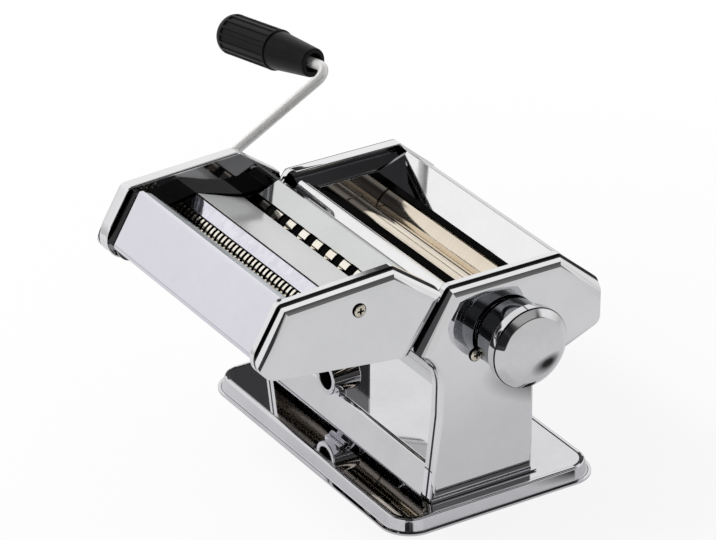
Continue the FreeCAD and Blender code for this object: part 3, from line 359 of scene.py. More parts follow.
CHROME_CRANK = Finish("crank_chrome", "crank_chrome", (0.96, 0.95, 0.935), (0.90, 0.89, 0.875),
                      metallic=0.35, rough=(0.3, 0.36), cloud_scale=16.0)
# dark sheet of the gear cover, kept near black also as painted shade where it shows at the covers'
# far end
DARK_SHEET_AND_SHADE = Finish("dark_sheet", "dark_sheet", (0.03, 0.03, 0.032), (0.018, 0.018, 0.019),
                    rough=(0.12, 0.22), grain=Grain.ALONG_Y, grain_height=0.000006)
# painted shade: black without shine, put in bores, grooves, recesses, under sheets and heads where
# shade falls
PAINTED_BLACK_SHADE = Finish("painted_black_shade", "frame_steel", (0.004, 0.004, 0.004),
                     (0.010, 0.0095, 0.009), metallic=0.0, rough=(0.35, 0.5), grain=Grain.ALONG_Y,
                     grain_height=0.000006, specular=0.0)
# dark steel of the inner frames, darkened further as painted shade inside the machine
FRAME_STEEL_AND_SHADE = Finish("frame_steel", "frame_steel", (0.10, 0.097, 0.095), (0.05, 0.048, 0.045),
                     rough=(0.08, 0.16), grain=Grain.ALONG_Y, grain_height=0.000006)
COVER_GREY = Finish("grey_cover_chrome", "cover_chrome", (0.74, 0.745, 0.745), (0.69, 0.695, 0.695),
                    rough=(0.03, 0.08), wave_height=0.00001, wave_scale=22.0)
SATIN_COVER = Finish("satin_cover_chrome", "cover_chrome", (0.80, 0.805, 0.80), (0.76, 0.765, 0.76),
                     metallic=0.45, rough=(0.1, 0.16), wave_height=0.00001, wave_scale=22.0)
HOPPER_CHROME = Finish("hopper_chrome", "cover_chrome", (0.92, 0.915, 0.92), (0.88, 0.875, 0.88),
                       rough=(0.03, 0.08), wave_height=0.00001, wave_scale=22.0)
# painted reflection: lavender chrome with fine darker mottling that stands in for reflections on
# the middle cover's lip
LIP_PAINTED_REFLECTION = Finish("lip_painted_reflection", "cover_chrome", (0.86, 0.85, 0.92), (0.70, 0.69, 0.78),
                    rough=(0.04, 0.1), cloud_scale=160.0, wave_height=0.00005, wave_scale=260.0)
SLOT_SATIN = Finish("slot_satin", "cover_chrome", (0.66, 0.70, 0.72), (0.60, 0.63, 0.65),
                    rough=(0.3, 0.42), grain=Grain.ALONG_Y, grain_height=0.000006)
SCRAPER_STEEL = Finish("scraper_steel", "scraper_steel", (0.22, 0.215, 0.2), (0.16, 0.155, 0.145),
                       rough=(0.2, 0.35), grain=Grain.ALONG_Y, grain_height=0.00001)
ROLLER_STEEL = Finish("roller_steel", "roller_steel", (0.95, 0.86, 0.73), (0.89, 0.77, 0.62),
                      rough=(0.08, 0.16), cloud_scale=18.0, grain=Grain.ROUND_Y, grain_scale=1400.0,
                      grain_height=0.0000012, streak=0.5)
CUTTER_STEEL = Finish("cutter_steel", "cutter_steel", (1.0, 0.95, 0.85), (0.95, 0.88, 0.76),
                      rough=(0.08, 0.16), grain=Grain.ROUND_Y, grain_scale=3000.0,
                      grain_height=0.000003)
GEAR_STEEL = Finish("gear_steel", "gear_steel", (0.36, 0.36, 0.37), (0.22, 0.21, 0.2),
                    rough=(0.25, 0.5))
BUSH_BRASS = Finish("bush_brass", "bush_brass", (0.62, 0.44, 0.18), (0.5, 0.34, 0.13),
                    rough=(0.2, 0.35))
BLOCK_PLASTIC = Finish("block_plastic", "block_plastic", (0.72, 0.71, 0.66), (0.66, 0.65, 0.6),
                       metallic=0.0, rough=(0.4, 0.55))
SPINDLE_STEEL = Finish("spindle_steel", "spindle_steel", (0.5, 0.5, 0.5), (0.4, 0.4, 0.4),
                       rough=(0.18, 0.3))
SPRING_STEEL = Finish("spring_steel", "spring_steel", (0.34, 0.34, 0.36), (0.26, 0.26, 0.27),
                      rough=(0.25, 0.4))
SCREW_STEEL = Finish("screw_steel", "screw_steel", (0.80, 0.75, 0.64), (0.64, 0.58, 0.47),
                     rough=(0.12, 0.28), cloud_scale=400.0)
GRIP_PLASTIC = Finish("grip_plastic", "grip_plastic", (0.0025, 0.0025, 0.0024),
                      (0.006, 0.006, 0.0057), metallic=0.0, rough=(0.3, 0.42), cloud_scale=60.0,
                      grain_scale=2600.0, grain_height=0.000006, specular=0.16)
FOOT_RUBBER = Finish("foot_rubber", "foot_rubber", (0.02, 0.02, 0.02), (0.035, 0.035, 0.033),
                     metallic=0.0, rough=(0.6, 0.8), grain_scale=1500.0, grain_height=0.00003)

CARRIED_NODES: dict[Finish, tuple[str, ...]] = {
    CHROME_BASE: ("foot_pads",),
    # painted shade: darkened chrome on the far liners and the far cheek
    LINER_PAINTED_SHADE: ("far_cheek", "attachment_far_liner", "far_side_liner"),
    # dark sheet, near black also as painted shade
    DARK_SHEET_AND_SHADE: ("attachment_gear_cover",),
    # dark steel, darkened also as painted shade inside the machine
    FRAME_STEEL_AND_SHADE: ("near_inner_frame", "attachment_near_frame", "attachment_far_frame",
                  "guide_rails", "mounting_hooks", "body_tie_rods", "attachment_tie_rods",
                  "body_side_pillars", "attachment_side_pillars"),
    SCRAPER_STEEL: ("roller_scrapers", "cutter_combs"),
    GEAR_STEEL: ("rear_roller_gear", "front_roller_gear", "fine_front_gear", "fine_rear_gear",
                 "wide_front_gear", "wide_rear_gear"),
    BUSH_BRASS: ("rear_roller_bushes", "cutter_bushes", "knob_bush"),
    BLOCK_PLASTIC: ("near_bearing_block", "far_bearing_block"),
    SPINDLE_STEEL: ("adjuster_spindle",),
    SPRING_STEEL: ("knob_spring",),
    SCREW_STEEL: ("base_screws",),
    CHROME_CRANK: ("grip_retainer",),
    FOOT_RUBBER: ("rubber_feet",),
}


# Work at the bench


class Bench:
    """Shapes one piece at a time with Blender's operators."""

    @staticmethod
    def clear() -> None:
        """Leaves edit mode and deselects everything."""
        if bpy.context.object and bpy.context.object.mode != "OBJECT":
            bpy.ops.object.mode_set(mode="OBJECT")
        bpy.ops.object.select_all(action="DESELECT")

    @classmethod
    def take(cls, piece: Piece) -> None:
        """Makes a piece the only selected and the active one."""
        cls.clear()
        piece.select_set(True)
        bpy.context.view_layer.objects.active = piece

    @classmethod
    def edit(cls, piece: Piece, kind: Kind = Kind.VERTS) -> None:
        """Goes to edit mode on a piece and selects all of it.

        Args:
            piece: piece to change.
            kind: which elements are selected.
        """
        cls.take(piece)
        bpy.ops.object.mode_set(mode="EDIT")
        bpy.context.tool_settings.mesh_select_mode = kind.value
        bpy.ops.mesh.select_all(action="SELECT")

    @classmethod
    def settle(cls, name: str) -> Piece:
        """Puts the active object's place into its mesh and names it.

        Args:
            name: name of the piece.

        Returns:
            The piece.
        """
        piece = bpy.context.object
        bpy.ops.object.transform_apply(location=True, rotation=True, scale=True)
        piece.name = name
        piece.data.name = name
        return piece

    @staticmethod
    def pick(kind: Kind, test: Callable[[Any], bool]) -> int:
        """Selects the elements that pass a test, in edit mode.

        Args:
            kind: which elements are tested.
            test: says of an element whether it is wanted.

        Returns:
            How many elements were selected.
        """
        bpy.context.tool_settings.mesh_select_mode = kind.value
        bpy.ops.mesh.select_all(action="DESELECT")
        mesh = bmesh.from_edit_mesh(bpy.context.object.data)
        mesh.verts.index_update()
        picked = [item for item in getattr(mesh, kind.name.lower()) if test(item)]
        for item in picked:
            item.select_set(True)
        mesh.select_flush_mode()
        bmesh.update_edit_mesh(bpy.context.object.data)
        return len(picked)

    @classmethod
    def modify(cls, piece: Piece, kind: str, **settings: Any) -> None:
        """Adds a modifier and applies it.

        Args:
            piece: piece to change.
            kind: type of modifier.
            **settings: the modifier's properties.
        """
        cls.take(piece)
        made = piece.modifiers.new(kind.lower(), kind)
        for key, value in settings.items():
            setattr(made, key, value)
        bpy.ops.object.modifier_apply(modifier=made.name)

    @classmethod
    def ease_edges(cls, piece: Piece, width: float, angle: float = 30.0,
                   segments: int = 2) -> None:
        """Rounds the sharp edges of a piece and shades it smooth.

        Args:
            piece: piece to finish.
            width: width of the rounding in millimetres.
            angle: least angle in degrees of an edge that is rounded.
            segments: steps of the rounding.
        """
        if width > 0.0:
            cls.modify(piece, "BEVEL", width=width * MM, segments=segments,
                       limit_method="ANGLE", angle_limit=math.radians(angle),
                       harden_normals=False, use_clamp_overlap=True)
        cls.smooth(piece, angle)

    @classmethod
    def round_bend(cls, piece: Piece, y: float, width: float, segments: int,
                   clamped: bool = True) -> None:
        """Rounds the outer bend line of a pressed plate that runs at one Y.

        Args:
            piece: plate to change.
            y: place of the bend line in millimetres.
            width: width of the rounding in millimetres.
            segments: steps of the rounding.
            clamped: whether the width gives way to short edges.
        """
        cls.edit(piece)
        count = cls.pick(Kind.EDGES, lambda e: (
            len(e.link_faces) == 2 and e.is_convex
            and all(abs(v.co.y / MM - y) < LINE_WIDTH for v in e.verts)
            and e.calc_face_angle() > LEAST_FOLD))
        bpy.ops.mesh.bevel(offset=width * MM, offset_type="OFFSET", segments=segments,
                           affect="EDGES", clamp_overlap=clamped)
        cls.clear()
        LOG.info("%s: %d edges rounded at %.1f", piece.name, count, y)

    @classmethod
    def lip(cls, name: str, path: Path, bends: Sequence[float], lean: float = 0.0,
            rows: int = 16) -> Piece:
        """Bends the lip of a far plate: a strip with a slight crown across its width along Y.

        Args:
            name: name of the piece.
            path: X and Z of the lip's corners, in millimetres.
            bends: radius of the bend at each corner.
            lean: how much lower its far edge gets than its near edge.
            rows: rows of faces across the width.

        Returns:
            The piece.
        """
        piece = cls.sheet(name, path, bends, -SHEET, LIP_LOW, LIP_HIGH)
        step = (LIP_HIGH - LIP_LOW) / rows
        for row in range(1, rows):
            cls.split(piece, LIP_LOW + step * row)
        for row in range(rows + 1):
            y = LIP_LOW + step * row
            drop = LIP_CROWN * (2 * row / rows - 1) ** 6 + lean * row / rows
            if drop < LEAST_DROP:
                continue
            cls.edit(piece)
            near = LAST_ROW if row in (0, rows) else LINE_WIDTH / 2
            cls.pick(Kind.VERTS, lambda v: abs(v.co.y / MM - y) < near)
            bpy.ops.transform.translate(value=(0, 0, -drop * MM))
            cls.clear()
        cls.smooth(piece)
        return piece

    @classmethod
    def split(cls, piece: Piece, y: float) -> None:
        """Adds a line of edges round a piece at one Y.

        Args:
            piece: piece to split.
            y: place of the line in millimetres.
        """
        cls.edit(piece)
        bpy.ops.mesh.bisect(plane_co=(0, y * MM, 0), plane_no=(0, 1, 0), threshold=1e-6)
        cls.clear()

    @classmethod
    def smooth(cls, piece: Piece, angle: float = 30.0) -> None:
        """Shades a piece smooth, apart from edges sharper than the angle in degrees."""
        cls.take(piece)
        bpy.ops.object.shade_smooth_by_angle(angle=math.radians(angle))
        cls.modify(piece, "WEIGHTED_NORMAL", weight=100, keep_sharp=True)

    @classmethod
    def outward(cls, piece: Piece) -> None:
        """Merges doubles and turns all faces outward."""
        cls.edit(piece)
        bpy.ops.mesh.remove_doubles(threshold=1e-6)
        bpy.ops.mesh.normals_make_consistent(inside=False)
        cls.clear()

    @staticmethod
    def draw_out(shift: Vector) -> None:
        """Extrudes what is selected by a shift in millimetres."""
        bpy.ops.mesh.extrude_region_move(TRANSFORM_OT_translate={"value": tuple(shift * MM)})

    @classmethod
    def turn(cls, name: str, centre: Sequence[float], axis: Sequence[float],
             profile: Path, steps: int = 96) -> Piece:
        """Turns a piece: a circle drawn out ring by ring along an axis.

        Args:
            name: name of the piece.
            centre: point on the axis, in millimetres.
            axis: direction of the axis.
            profile: radius of each ring and its distance along the axis; a radius of 0 at an end
                closes it.
            steps: faces round the piece.

        Returns:
            The piece.
        """
        cls.clear()
        way = Vector(axis).normalized()
        origin = Vector(centre)
        first_pole = profile[0][0] == 0.0
        rings = list(profile[1:] if first_pole else profile)
        radius, along = rings[0]
        bpy.ops.mesh.primitive_circle_add(vertices=steps, radius=radius * MM, fill_type="NOTHING",
                                          location=(origin + way * along) * MM,
                                          rotation=way.to_track_quat("Z", "Y").to_euler())
        piece = cls.settle(name)
        cls.edit(piece)
        for new_radius, new_along in rings[1:]:
            cls.draw_out(way * (new_along - along))
            if new_radius == 0.0:
                bpy.ops.mesh.merge(type="CENTER")
            elif new_radius != radius:
                factor = new_radius / radius
                bpy.ops.transform.resize(value=(factor, factor, factor),
                                         center_override=tuple((origin + way * new_along) * MM))
            radius, along = new_radius, new_along
        if first_pole:
            cls.pick(Kind.VERTS, lambda v: v.index < steps)
            cls.draw_out(way * (profile[0][1] - rings[0][1]))
            bpy.ops.mesh.merge(type="CENTER")
        cls.outward(piece)
        return piece

    @classmethod
    def sheet(cls, name: str, path: Path, bends: Sequence[float], thickness: float,
              y0: float = -OPEN_Y, y1: float = FENCE_Y) -> Piece:
        """Bends a sheet: a plane drawn out run by run, then given bends and thickness.

        Args:
            name: name of the piece.
            path: X and Z of the visible side's corners, in millimetres.
            bends: radius of the bend at each corner.
            thickness: thickness in millimetres, to the left of the path if it is positive.
            y0: start along Y.
            y1: end along Y.

        Returns:
            The piece.
        """
        cls.clear()
        start, second = (Vector((x, 0, z)) for x, z in path[:2])
        run = second - start
        middle = (start + second) / 2 + Vector((0, (y0 + y1) / 2, 0))
        bpy.ops.mesh.primitive_plane_add(size=1.0, location=middle * MM,
                                         rotation=(0, -math.atan2(run.z, run.x), 0))
        bpy.context.object.scale = (run.length * MM, (y1 - y0) * MM, 1.0)
        piece = cls.settle(name)
        cls.edit(piece)

        def pick_corner(x: float, z: float) -> None:
            """Selects the bend line at one corner of the path."""
            cls.pick(Kind.EDGES, lambda e: all(
                math.hypot(v.co.x / MM - x, v.co.z / MM - z) < LINE_WIDTH / 2 for v in e.verts))

        for here, ahead in zip(path[1:], path[2:]):
            pick_corner(*here)
            cls.draw_out(Vector((ahead[0] - here[0], 0, ahead[1] - here[1])))
        for before, here, ahead, bend in zip(path, path[1:], path[2:], bends[1:]):
            if bend > 0.0:
                pick_corner(*here)
                into, out = Vector(here) - Vector(before), Vector(ahead) - Vector(here)
                reach = bend * math.tan(abs(into.angle_signed(out)) / 2)
                bpy.ops.mesh.bevel(offset=reach * MM, offset_type="OFFSET", segments=10,
                                   affect="EDGES", clamp_overlap=False)
        cls.clear()
        cls.modify(piece, "SOLIDIFY", thickness=abs(thickness) * MM,
                   offset=math.copysign(1.0, thickness), use_even_offset=True)
        cls.outward(piece)
        cls.ease_edges(piece, 0.15, 40.0)
        return piece

    @classmethod
    def rod(cls, name: str, places: Sequence[Vector], radius: float, bend: float) -> Piece:
        """Bends a round rod: a circle drawn out along its runs and spun round its bends.

        Args:
            name: name of the piece.
            places: ends and corners of its centre line, in millimetres.
            radius: radius of the rod.
            bend: radius of the centre line in the bends.

        Returns:
            The piece.
        """
        cls.clear()
        way = (places[1] - places[0]).normalized()
        bpy.ops.mesh.primitive_circle_add(vertices=32, radius=radius * MM, fill_type="NGON",
                                          location=places[0] * MM,
                                          rotation=way.to_track_quat("Z", "Y").to_euler())
        piece = cls.settle(name)
        cls.edit(piece, Kind.FACES)
        here = places[0]
        for corner, ahead in zip(places[1:], places[2:]):
            new_way = (ahead - corner).normalized()
            angle = way.angle(new_way)
            reach = bend * math.tan(angle / 2)
            stop = corner - way * reach
            axis = way.cross(new_way).normalized()
            centre = stop + axis.cross(way).normalized() * bend
            cls.draw_out(stop - here)
            bpy.ops.mesh.spin(steps=16, angle=-angle, center=tuple(centre * MM), axis=tuple(axis),
                              dupli=False)
            here, way = corner + new_way * reach, new_way
        cls.draw_out(places[-1] - here)
        cls.outward(piece)
        return piece

    @classmethod
    def paint(cls, piece: Piece, finish: Finish,
              test: Callable[[Vector, Vector], bool]) -> None:
        """Gives the faces that pass a test another finish.

        Args:
            piece: piece that already has its main finish.
            finish: finish of the chosen faces.
            test: says of a face's centre, in millimetres, and its normal whether it is wanted.
        """
        piece.data.materials.append(finish.material())
        piece.active_material_index = len(piece.data.materials) - 1
        cls.edit(piece)
        count = cls.pick(Kind.FACES, lambda f: test(f.calc_center_median() / MM, f.normal))
        bpy.ops.object.material_slot_assign()
        cls.clear()
        LOG.info("%s: %d faces in %s", piece.name, count, finish.name)

    @classmethod
    def block(cls, name: str, place: Place, size: Place) -> Piece:
        """Adds a block.

        Args:
            name: name of the piece.
            place: its centre, in millimetres.
            size: its size along X, Y and Z, in millimetres.

        Returns:
            The piece.
        """
        cls.clear()
        bpy.ops.mesh.primitive_cube_add(size=1.0, location=Vector(place) * MM)
        bpy.context.object.scale = Vector(size) * MM
        return cls.settle(name)

    @classmethod
    def cut(cls, piece: Piece, *tools: Piece) -> None:
        """Cuts tools out of a piece and deletes them.

        Args:
            piece: piece that stays.
            *tools: closed meshes that are cut out.
        """
        for tool in tools:
            cls.modify(piece, "BOOLEAN", operation="DIFFERENCE", solver="EXACT", object=tool)
            bpy.data.objects.remove(tool, do_unlink=True)

    @classmethod
    def join(cls, name: str, pieces: Sequence[Piece]) -> Piece:
        """Joins pieces into one.

        Args:
            name: name of the joined piece.
            pieces: pieces to join.

        Returns:
            The joined piece.
        """
        cls.clear()
        for piece in pieces:
            piece.select_set(True)
        bpy.context.view_layer.objects.active = pieces[0]
        bpy.ops.object.join()
        pieces[0].name = name
        pieces[0].data.name = name
        return pieces[0]

    @classmethod
    def copy_of(cls, node: str, name: str, width: float, angle: float = 25.0) -> Piece:
        """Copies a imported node's mesh, merges it and rounds its sharp edges.

        Args:
            node: name of the node.
            name: name of the new piece.
            width: rounding in millimetres.
            angle: least angle in degrees of an edge that is rounded.

        Returns:
            The new piece, which stands for the node.
        """
        source = NODES[node]
        piece = bpy.data.objects.new(name, source.data.copy())
        bpy.context.scene.collection.objects.link(piece)
        cls.take(piece)
        bpy.ops.mesh.customdata_custom_splitnormals_clear()
        cls.edit(piece)
        bpy.ops.mesh.remove_doubles(threshold=2e-6)
        bpy.ops.mesh.dissolve_limited(angle_limit=math.radians(0.5))
        cls.clear()
        cls.ease_edges(piece, width, angle)
        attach(piece, NODE_BODY[node])
        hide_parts(node)
        return piece


NODES: dict[str, Piece] = {}
NODE_BODY: dict[str, str] = {}


def fit(piece: Piece, finish: Finish, body: str, *nodes: str) -> Piece:
    """Dresses a new piece, lets it ride on its body and stand for its nodes.

    Args:
        piece: the new piece.
        finish: its finish.
        body: body it rides on.
        *nodes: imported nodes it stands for.

    Returns:
        The piece.
    """
    finish.dress(piece)
    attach(piece, body)
    if nodes:
        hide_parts(*nodes)
    LOG.info("fitted %s on %s", piece.name, body)
    return piece


def pressed_plate(node: str, name: str, side: Side) -> None:
    """Copies a pressed plate, rounds the bend lines of its border and paints shade into its crease.

    Args:
        node: packed plate.
        name: name of the new piece.
        side: side of the machine that it is on.
    """
    piece = Bench.copy_of(node, name, 0.0, 20.0)
    Bench.round_bend(piece, side.value * (OPEN_Y + FLANGE), 0.6, 3)
    Bench.round_bend(piece, side.value * (OPEN_Y + FACET), 1.45, 1, False)
    for reach in (CREASE_START, CREASE_END):
        Bench.split(piece, side.value * (OPEN_Y + reach))
    Bench.ease_edges(piece, 0.15, 24.0)
    CHROME_PLATE.dress(piece)
    # painted shade: near-black chrome in the crease beside the flange
    Bench.paint(piece, PAINTED_CREASE_SHADE, lambda at, n: (
        CREASE_START < abs(at.y) - OPEN_Y < CREASE_END and abs(n.y) < 0.93))


# Sub-assemblies


@dataclass
class Base:
    """Pressed base with a sloping wall, a turned-out lip and a rim round its mirror top."""

    length: float = 206.0
    width: float = 134.0
    corner: float = 18.0
    lip_low: float = 1.5
    lip_high: float = 2.7
    lip_width: float = 2.0
    wall_slope: float = 2.3
    top: float = 10.0
    rim_width: float = 2.4
    rim_drop: float = 0.35
    sheet: float = 1.2
    corner_steps: int = 14
    crease_margin: float = 1.5
    crease_low: float = 0.03
    crease_high: float = 0.14

    def build(self) -> None:
        """Builds the base."""
        Bench.clear()
        bpy.ops.mesh.primitive_plane_add(size=1.0, location=(0, 0, self.lip_low * MM))
        bpy.context.object.scale = (self.width * MM, self.length * MM, 1.0)
        piece = Bench.settle("base_shell")
        Bench.edit(piece)
        bpy.ops.mesh.bevel(offset=self.corner * MM, segments=self.corner_steps, affect="VERTICES")
        Bench.draw_out(Vector((0, 0, self.lip_high - self.lip_low)))
        # each step goes inward and up: over the lip, up the wall, round its top and down the rim
        steps = [(self.lip_width - 0.3, 0.0), (0.3, 0.15), (0.3, 0.35),
                 (self.wall_slope - 0.9, self.top - self.lip_high - 1.9), (0.25, 0.7), (0.45, 0.5),
                 (0.7, 0.06), (self.rim_width - 1.2, 0.14), (0.35, -self.rim_drop * 0.6),
                 (0.3, -self.rim_drop * 0.4)]
        for inward, rise in steps:
            bpy.ops.mesh.inset(thickness=inward * MM, depth=0.0, use_boundary=True)
            if rise:
                bpy.ops.transform.translate(value=(0, 0, rise * MM))
        Bench.pick(Kind.FACES, lambda f: (
            f.calc_center_median().z / MM < self.lip_low + LINE_WIDTH / 2))
        bpy.ops.mesh.delete(type="FACE")
        Bench.clear()
        Bench.outward(piece)
        Bench.modify(piece, "SOLIDIFY", thickness=self.sheet * MM, offset=-1.0,
                     use_even_offset=False)
        Bench.ease_edges(piece, 0.2, 50.0)
        fit(piece, CHROME_BASE, "body", "base_plate")
        margin = self.lip_width + self.wall_slope + self.crease_margin

        def in_outline(at: Vector, n: Vector) -> bool:
            """Whether a face lies in the rim's drop or in the fold of the lip, where a dark line of
            shade is painted.
            """
            if n.z <= 0.3:
                return False
            inside = abs(at.x) < self.width / 2 - margin and abs(at.y) < self.length / 2 - margin
            in_drop = self.top - self.rim_drop + LINE_WIDTH / 2 < at.z < self.top - self.crease_low
            return inside and in_drop or self.crease_low < at.z - self.lip_high < self.crease_high

        # painted shade: dark lines in the rim's drop and in the lip's fold
        Bench.paint(piece, PAINTED_CREASE_SHADE, in_outline)


@dataclass
class BodyShell:
    """Pressed side plates of the body and the bent sheets between them."""

    hopper_front: Path = (
        (4.0, 116.9), (0.8, 119.0), (-20.6, 133.13), (-20.9, 132.9), (-21.3, 133.55),
        (-24.8, 135.9), (-28.8, 131.3))
    front_black: Point = (-21.0, 2.0)
    hopper_rear: Path = ((45.2, 135.6), (35.0, 119.3), (34.7, 119.1), (32.9, 116.3))
    rear_black_top: float = 119.4
    crossbar: Path = (
        (-38.0, 10.0), (-37.6, 10.9), (-30.9, 25.5), (-28.0, 25.5), (-28.0, 10.0))
    lip: Path = ((-22.5, 136.95), (46.5, 136.95))
    lip_lean: float = 0.8
    fence_top: Point = (127.0, 129.0)
    tube: Place = (-38.0, 20.0, 35.5)
    tube_r: float = 10.0
    tube_bore_r: float = 6.6
    tube_length: float = 18.0
    saddle_x: float = -31.0
    saddle_z: float = 27.2
    saddle: Place = (5.0, 16.0, 3.4)

    def build(self) -> None:
        """Builds the plates and sheets."""
        pressed_plate("near_side_plate", "near_pressed_plate", Side.NEAR)
        pressed_plate("far_side_plate", "far_pressed_plate", Side.FAR)
        for node in ("front_lower_guard", "rear_cover"):
            COVER_GREY.dress(Bench.copy_of(node, node + "_sheet", 0.2, 30.0))
        bar = Bench.sheet("pressed_crossbar", self.crossbar, (0.0, 0.0, 2.2, 1.6, 0.0), -1.0,
                          -OPEN_Y, OPEN_Y)
        fit(bar, CHROME_BASE, "body", "crossbar")
        self.socket()
        fit(Bench.lip("body_far_lip", self.lip, (0.0, 0.0), self.lip_lean), CHROME_PLATE, "body")
        fence = Bench.copy_of("far_inner_frame", "far_fence", 0.25, 30.0)
        # painted shade: the fence is in the darkened liner chrome; only its top faces get the
        # bright plate chrome
        LINER_PAINTED_SHADE.dress(fence)
        low, high = self.fence_top
        Bench.paint(fence, CHROME_PLATE, lambda at, n: n.z > 0.9 and low < at.z < high)
        front = Bench.sheet("hopper_front", self.hopper_front, (0.0,) * 5 + (1.6, 0.0), SHEET)
        fit(front, HOPPER_CHROME, "body", "front_guide")
        start, end = self.front_black
        # painted shade: black on the inner slope of the hopper's front sheet
        Bench.paint(front, PAINTED_BLACK_SHADE, lambda at, n: n.x > 0.4 and start < at.x < end)
        rear = Bench.sheet("hopper_rear", self.hopper_rear, (0.0,) * 4, SHEET)
        fit(rear, HOPPER_CHROME, "body", "rear_guide")
        # painted shade: black on the foot of the hopper's rear sheet, above the roller
        Bench.paint(rear, PAINTED_BLACK_SHADE, lambda at, n: n.x < -0.3 and at.z < self.rear_black_top)

    def socket(self) -> None:
        """Turns the clamp socket's tube with rounded lips, stands it on its saddle and paints shade
        black into its bore.
        """
        wall, bore, length = self.tube_r, self.tube_bore_r, self.tube_length
        _, y, z = self.tube
        tube = Bench.turn("clamp_tube", self.tube, (1, 0, 0), [
            (bore, 0.9), (bore + 0.3, 0.3), (bore + 1.0, 0.0), (wall - 0.9, 0.0), (wall - 0.3, 0.3),
            (wall, 0.9), (wall, length - 0.6), (wall - 0.6, length), (bore + 0.5, length),
            (bore, length - 0.5), (bore, 0.9)])
        saddle = Bench.block("clamp_saddle", (self.saddle_x, y, self.saddle_z), self.saddle)
        Bench.ease_edges(saddle, 0.6, 40.0, 3)
        Bench.smooth(tube, 35.0)
        joined = Bench.join("clamp_tube", [tube, saddle])
        fit(joined, CHROME_BASE, "body", "clamp_socket")
        # painted shade: black inside the clamp tube's bore
        Bench.paint(joined, PAINTED_BLACK_SHADE, lambda at, n: math.hypot(at.y - y, at.z - z) < bore + 0.05)


@dataclass
class SmoothRollers:
    """Pair of smooth rollers under the hopper."""

    radius: float = 13.85
    front_axis: Place = (10.0, 0.0, 102.0)
    low: float = -78.6
    high: float = 66.1
    near_tip: float = -82.7
    far_tip: float = 76.0
    journal: float = 5.0
    chamfer: float = 0.4
    tip_chamfer: float = 0.3

    def build(self) -> None:
        """Builds both rollers; the driven one keeps its socket."""
        radius, journal, low, high = self.radius, self.journal, self.low, self.high
        shoulder, tip = radius - self.chamfer, journal - self.tip_chamfer
        front = Bench.turn("front_drum", self.front_axis, (0, 1, 0), [
            (0.0, self.near_tip), (tip, self.near_tip), (journal, self.near_tip + self.tip_chamfer),
            (journal, low), (shoulder, low), (radius, low + self.chamfer),
            (radius, high - self.chamfer), (shoulder, high), (journal, high),
            (journal, self.far_tip - self.tip_chamfer), (tip, self.far_tip), (0.0, self.far_tip)])
        Bench.smooth(front, 25.0)
        fit(front, ROLLER_STEEL, "front_roller", "front_roller")
        ROLLER_STEEL.dress(Bench.copy_of("rear_roller", "rear_drum", 0.15, 30.0))


@dataclass
class Cutters:
    """Four ring-and-groove cutter rolls: bright rings, with shade painted black into the grooves
    between them.
    """

    ring_r: float = 9.0
    journal_r: float = 3.5
    rolls: Sequence[tuple[str, float, float]] = (
        ("fine_front_cutter", -110.3, 130.0), ("fine_rear_cutter", -93.3, 130.0),
        ("wide_front_cutter", -64.9, 124.5), ("wide_rear_cutter", -47.9, 124.5))

    def roll(self, node: str, x: float, z: float) -> None:
        """Finishes one roll and paints shade black into its grooves.

        Args:
            node: packed roll.
            x: place of its axis.
            z: height of its axis.
        """
        piece = Bench.copy_of(node, node.replace("cutter", "roll"), 0.0, 30.0)
        CUTTER_STEEL.dress(piece)
        # painted shade: black on the groove floors and the ring sides
        Bench.paint(piece, PAINTED_BLACK_SHADE, lambda at, n: (
            self.journal_r < math.hypot(at.x - x, at.z - z) < self.ring_r - 0.2))

    def build(self) -> None:
        """Finishes the rolls."""
        for node, x, z in self.rolls:
            self.roll(node, x, z)


@dataclass
class Attachment:
    """Cutter attachment: two pressed plates and three bent covers."""

    front: Path = (
        (-139.0, 121.0), (-144.0, 126.0), (-126.6, 155.5), (-124.3, 155.2), (-124.2, 154.5),
        (-119.5, 152.4), (-106.3, 139.7))
    front_bends: Sequence[float] = (0.0, 3.0, 0.9, 0.0, 0.0, 0.8, 0.0)
    slot_start: float = -124.2
    middle: Path = (
        (-97.3, 139.7), (-91.5, 144.5), (-91.2, 143.9), (-90.5, 144.85), (-61.2, 134.3))
    middle_bends: Sequence[float] = (0.0, 0.0, 0.0, 0.3, 0.0)
    crease_start: float = -91.4
    rear: Path = ((-51.9, 134.3), (-38.6, 140.0), (-35.4, 131.5))
    rear_bends: Sequence[float] = (0.0, 1.5, 0.0)
    lip: Path = (
        (-129.0, 112.88), (-151.84, 115.64), (-129.0, 154.6), (-58.9, 158.25), (-33.2, 139.7))
    lip_bends: Sequence[float] = (0.0, 14.4, 3.4, 4.0, 0.0)

    def build(self) -> None:
        """Builds the plates and covers."""
        pressed_plate("attachment_near_plate", "attachment_near_tray", Side.NEAR)
        pressed_plate("attachment_far_plate", "attachment_far_tray", Side.FAR)
        front, middle, rear = (
            fit(Bench.sheet(word + "_cover_sheet", path, bends, -SHEET), finish,
                "cutter_attachment", "attachment_" + word + "_cover")
            for word, finish, path, bends in (
                ("front", CHROME_COVER, self.front, self.front_bends),
                ("middle", SATIN_COVER, self.middle, self.middle_bends),
                ("rear", COVER_GREY, self.rear, self.rear_bends)))
        # painted reflection: mottled lavender chrome on the middle cover's lip
        Bench.paint(middle, LIP_PAINTED_REFLECTION, lambda at, n: n.x < -0.3 and n.z > 0.3)
        # painted shade: a dark line on the small fold facet of the middle cover
        Bench.paint(middle, PAINTED_CREASE_SHADE, lambda at, n: (
            n.x < -0.3 and n.z > 0.3 and at.x > self.crease_start))
        # painted shade: black on the covers' undersides
        for cover in (front, middle, rear):
            Bench.paint(cover, PAINTED_BLACK_SHADE, lambda at, n: n.z < -0.2 and n.x > -0.55)
        Bench.paint(front, SLOT_SATIN, lambda at, n: (
            n.x > 0.3 and n.z > 0.0 and at.x > self.slot_start))
        fit(Bench.lip("attachment_far_lip", self.lip, self.lip_bends), CHROME_PLATE,
            "cutter_attachment")


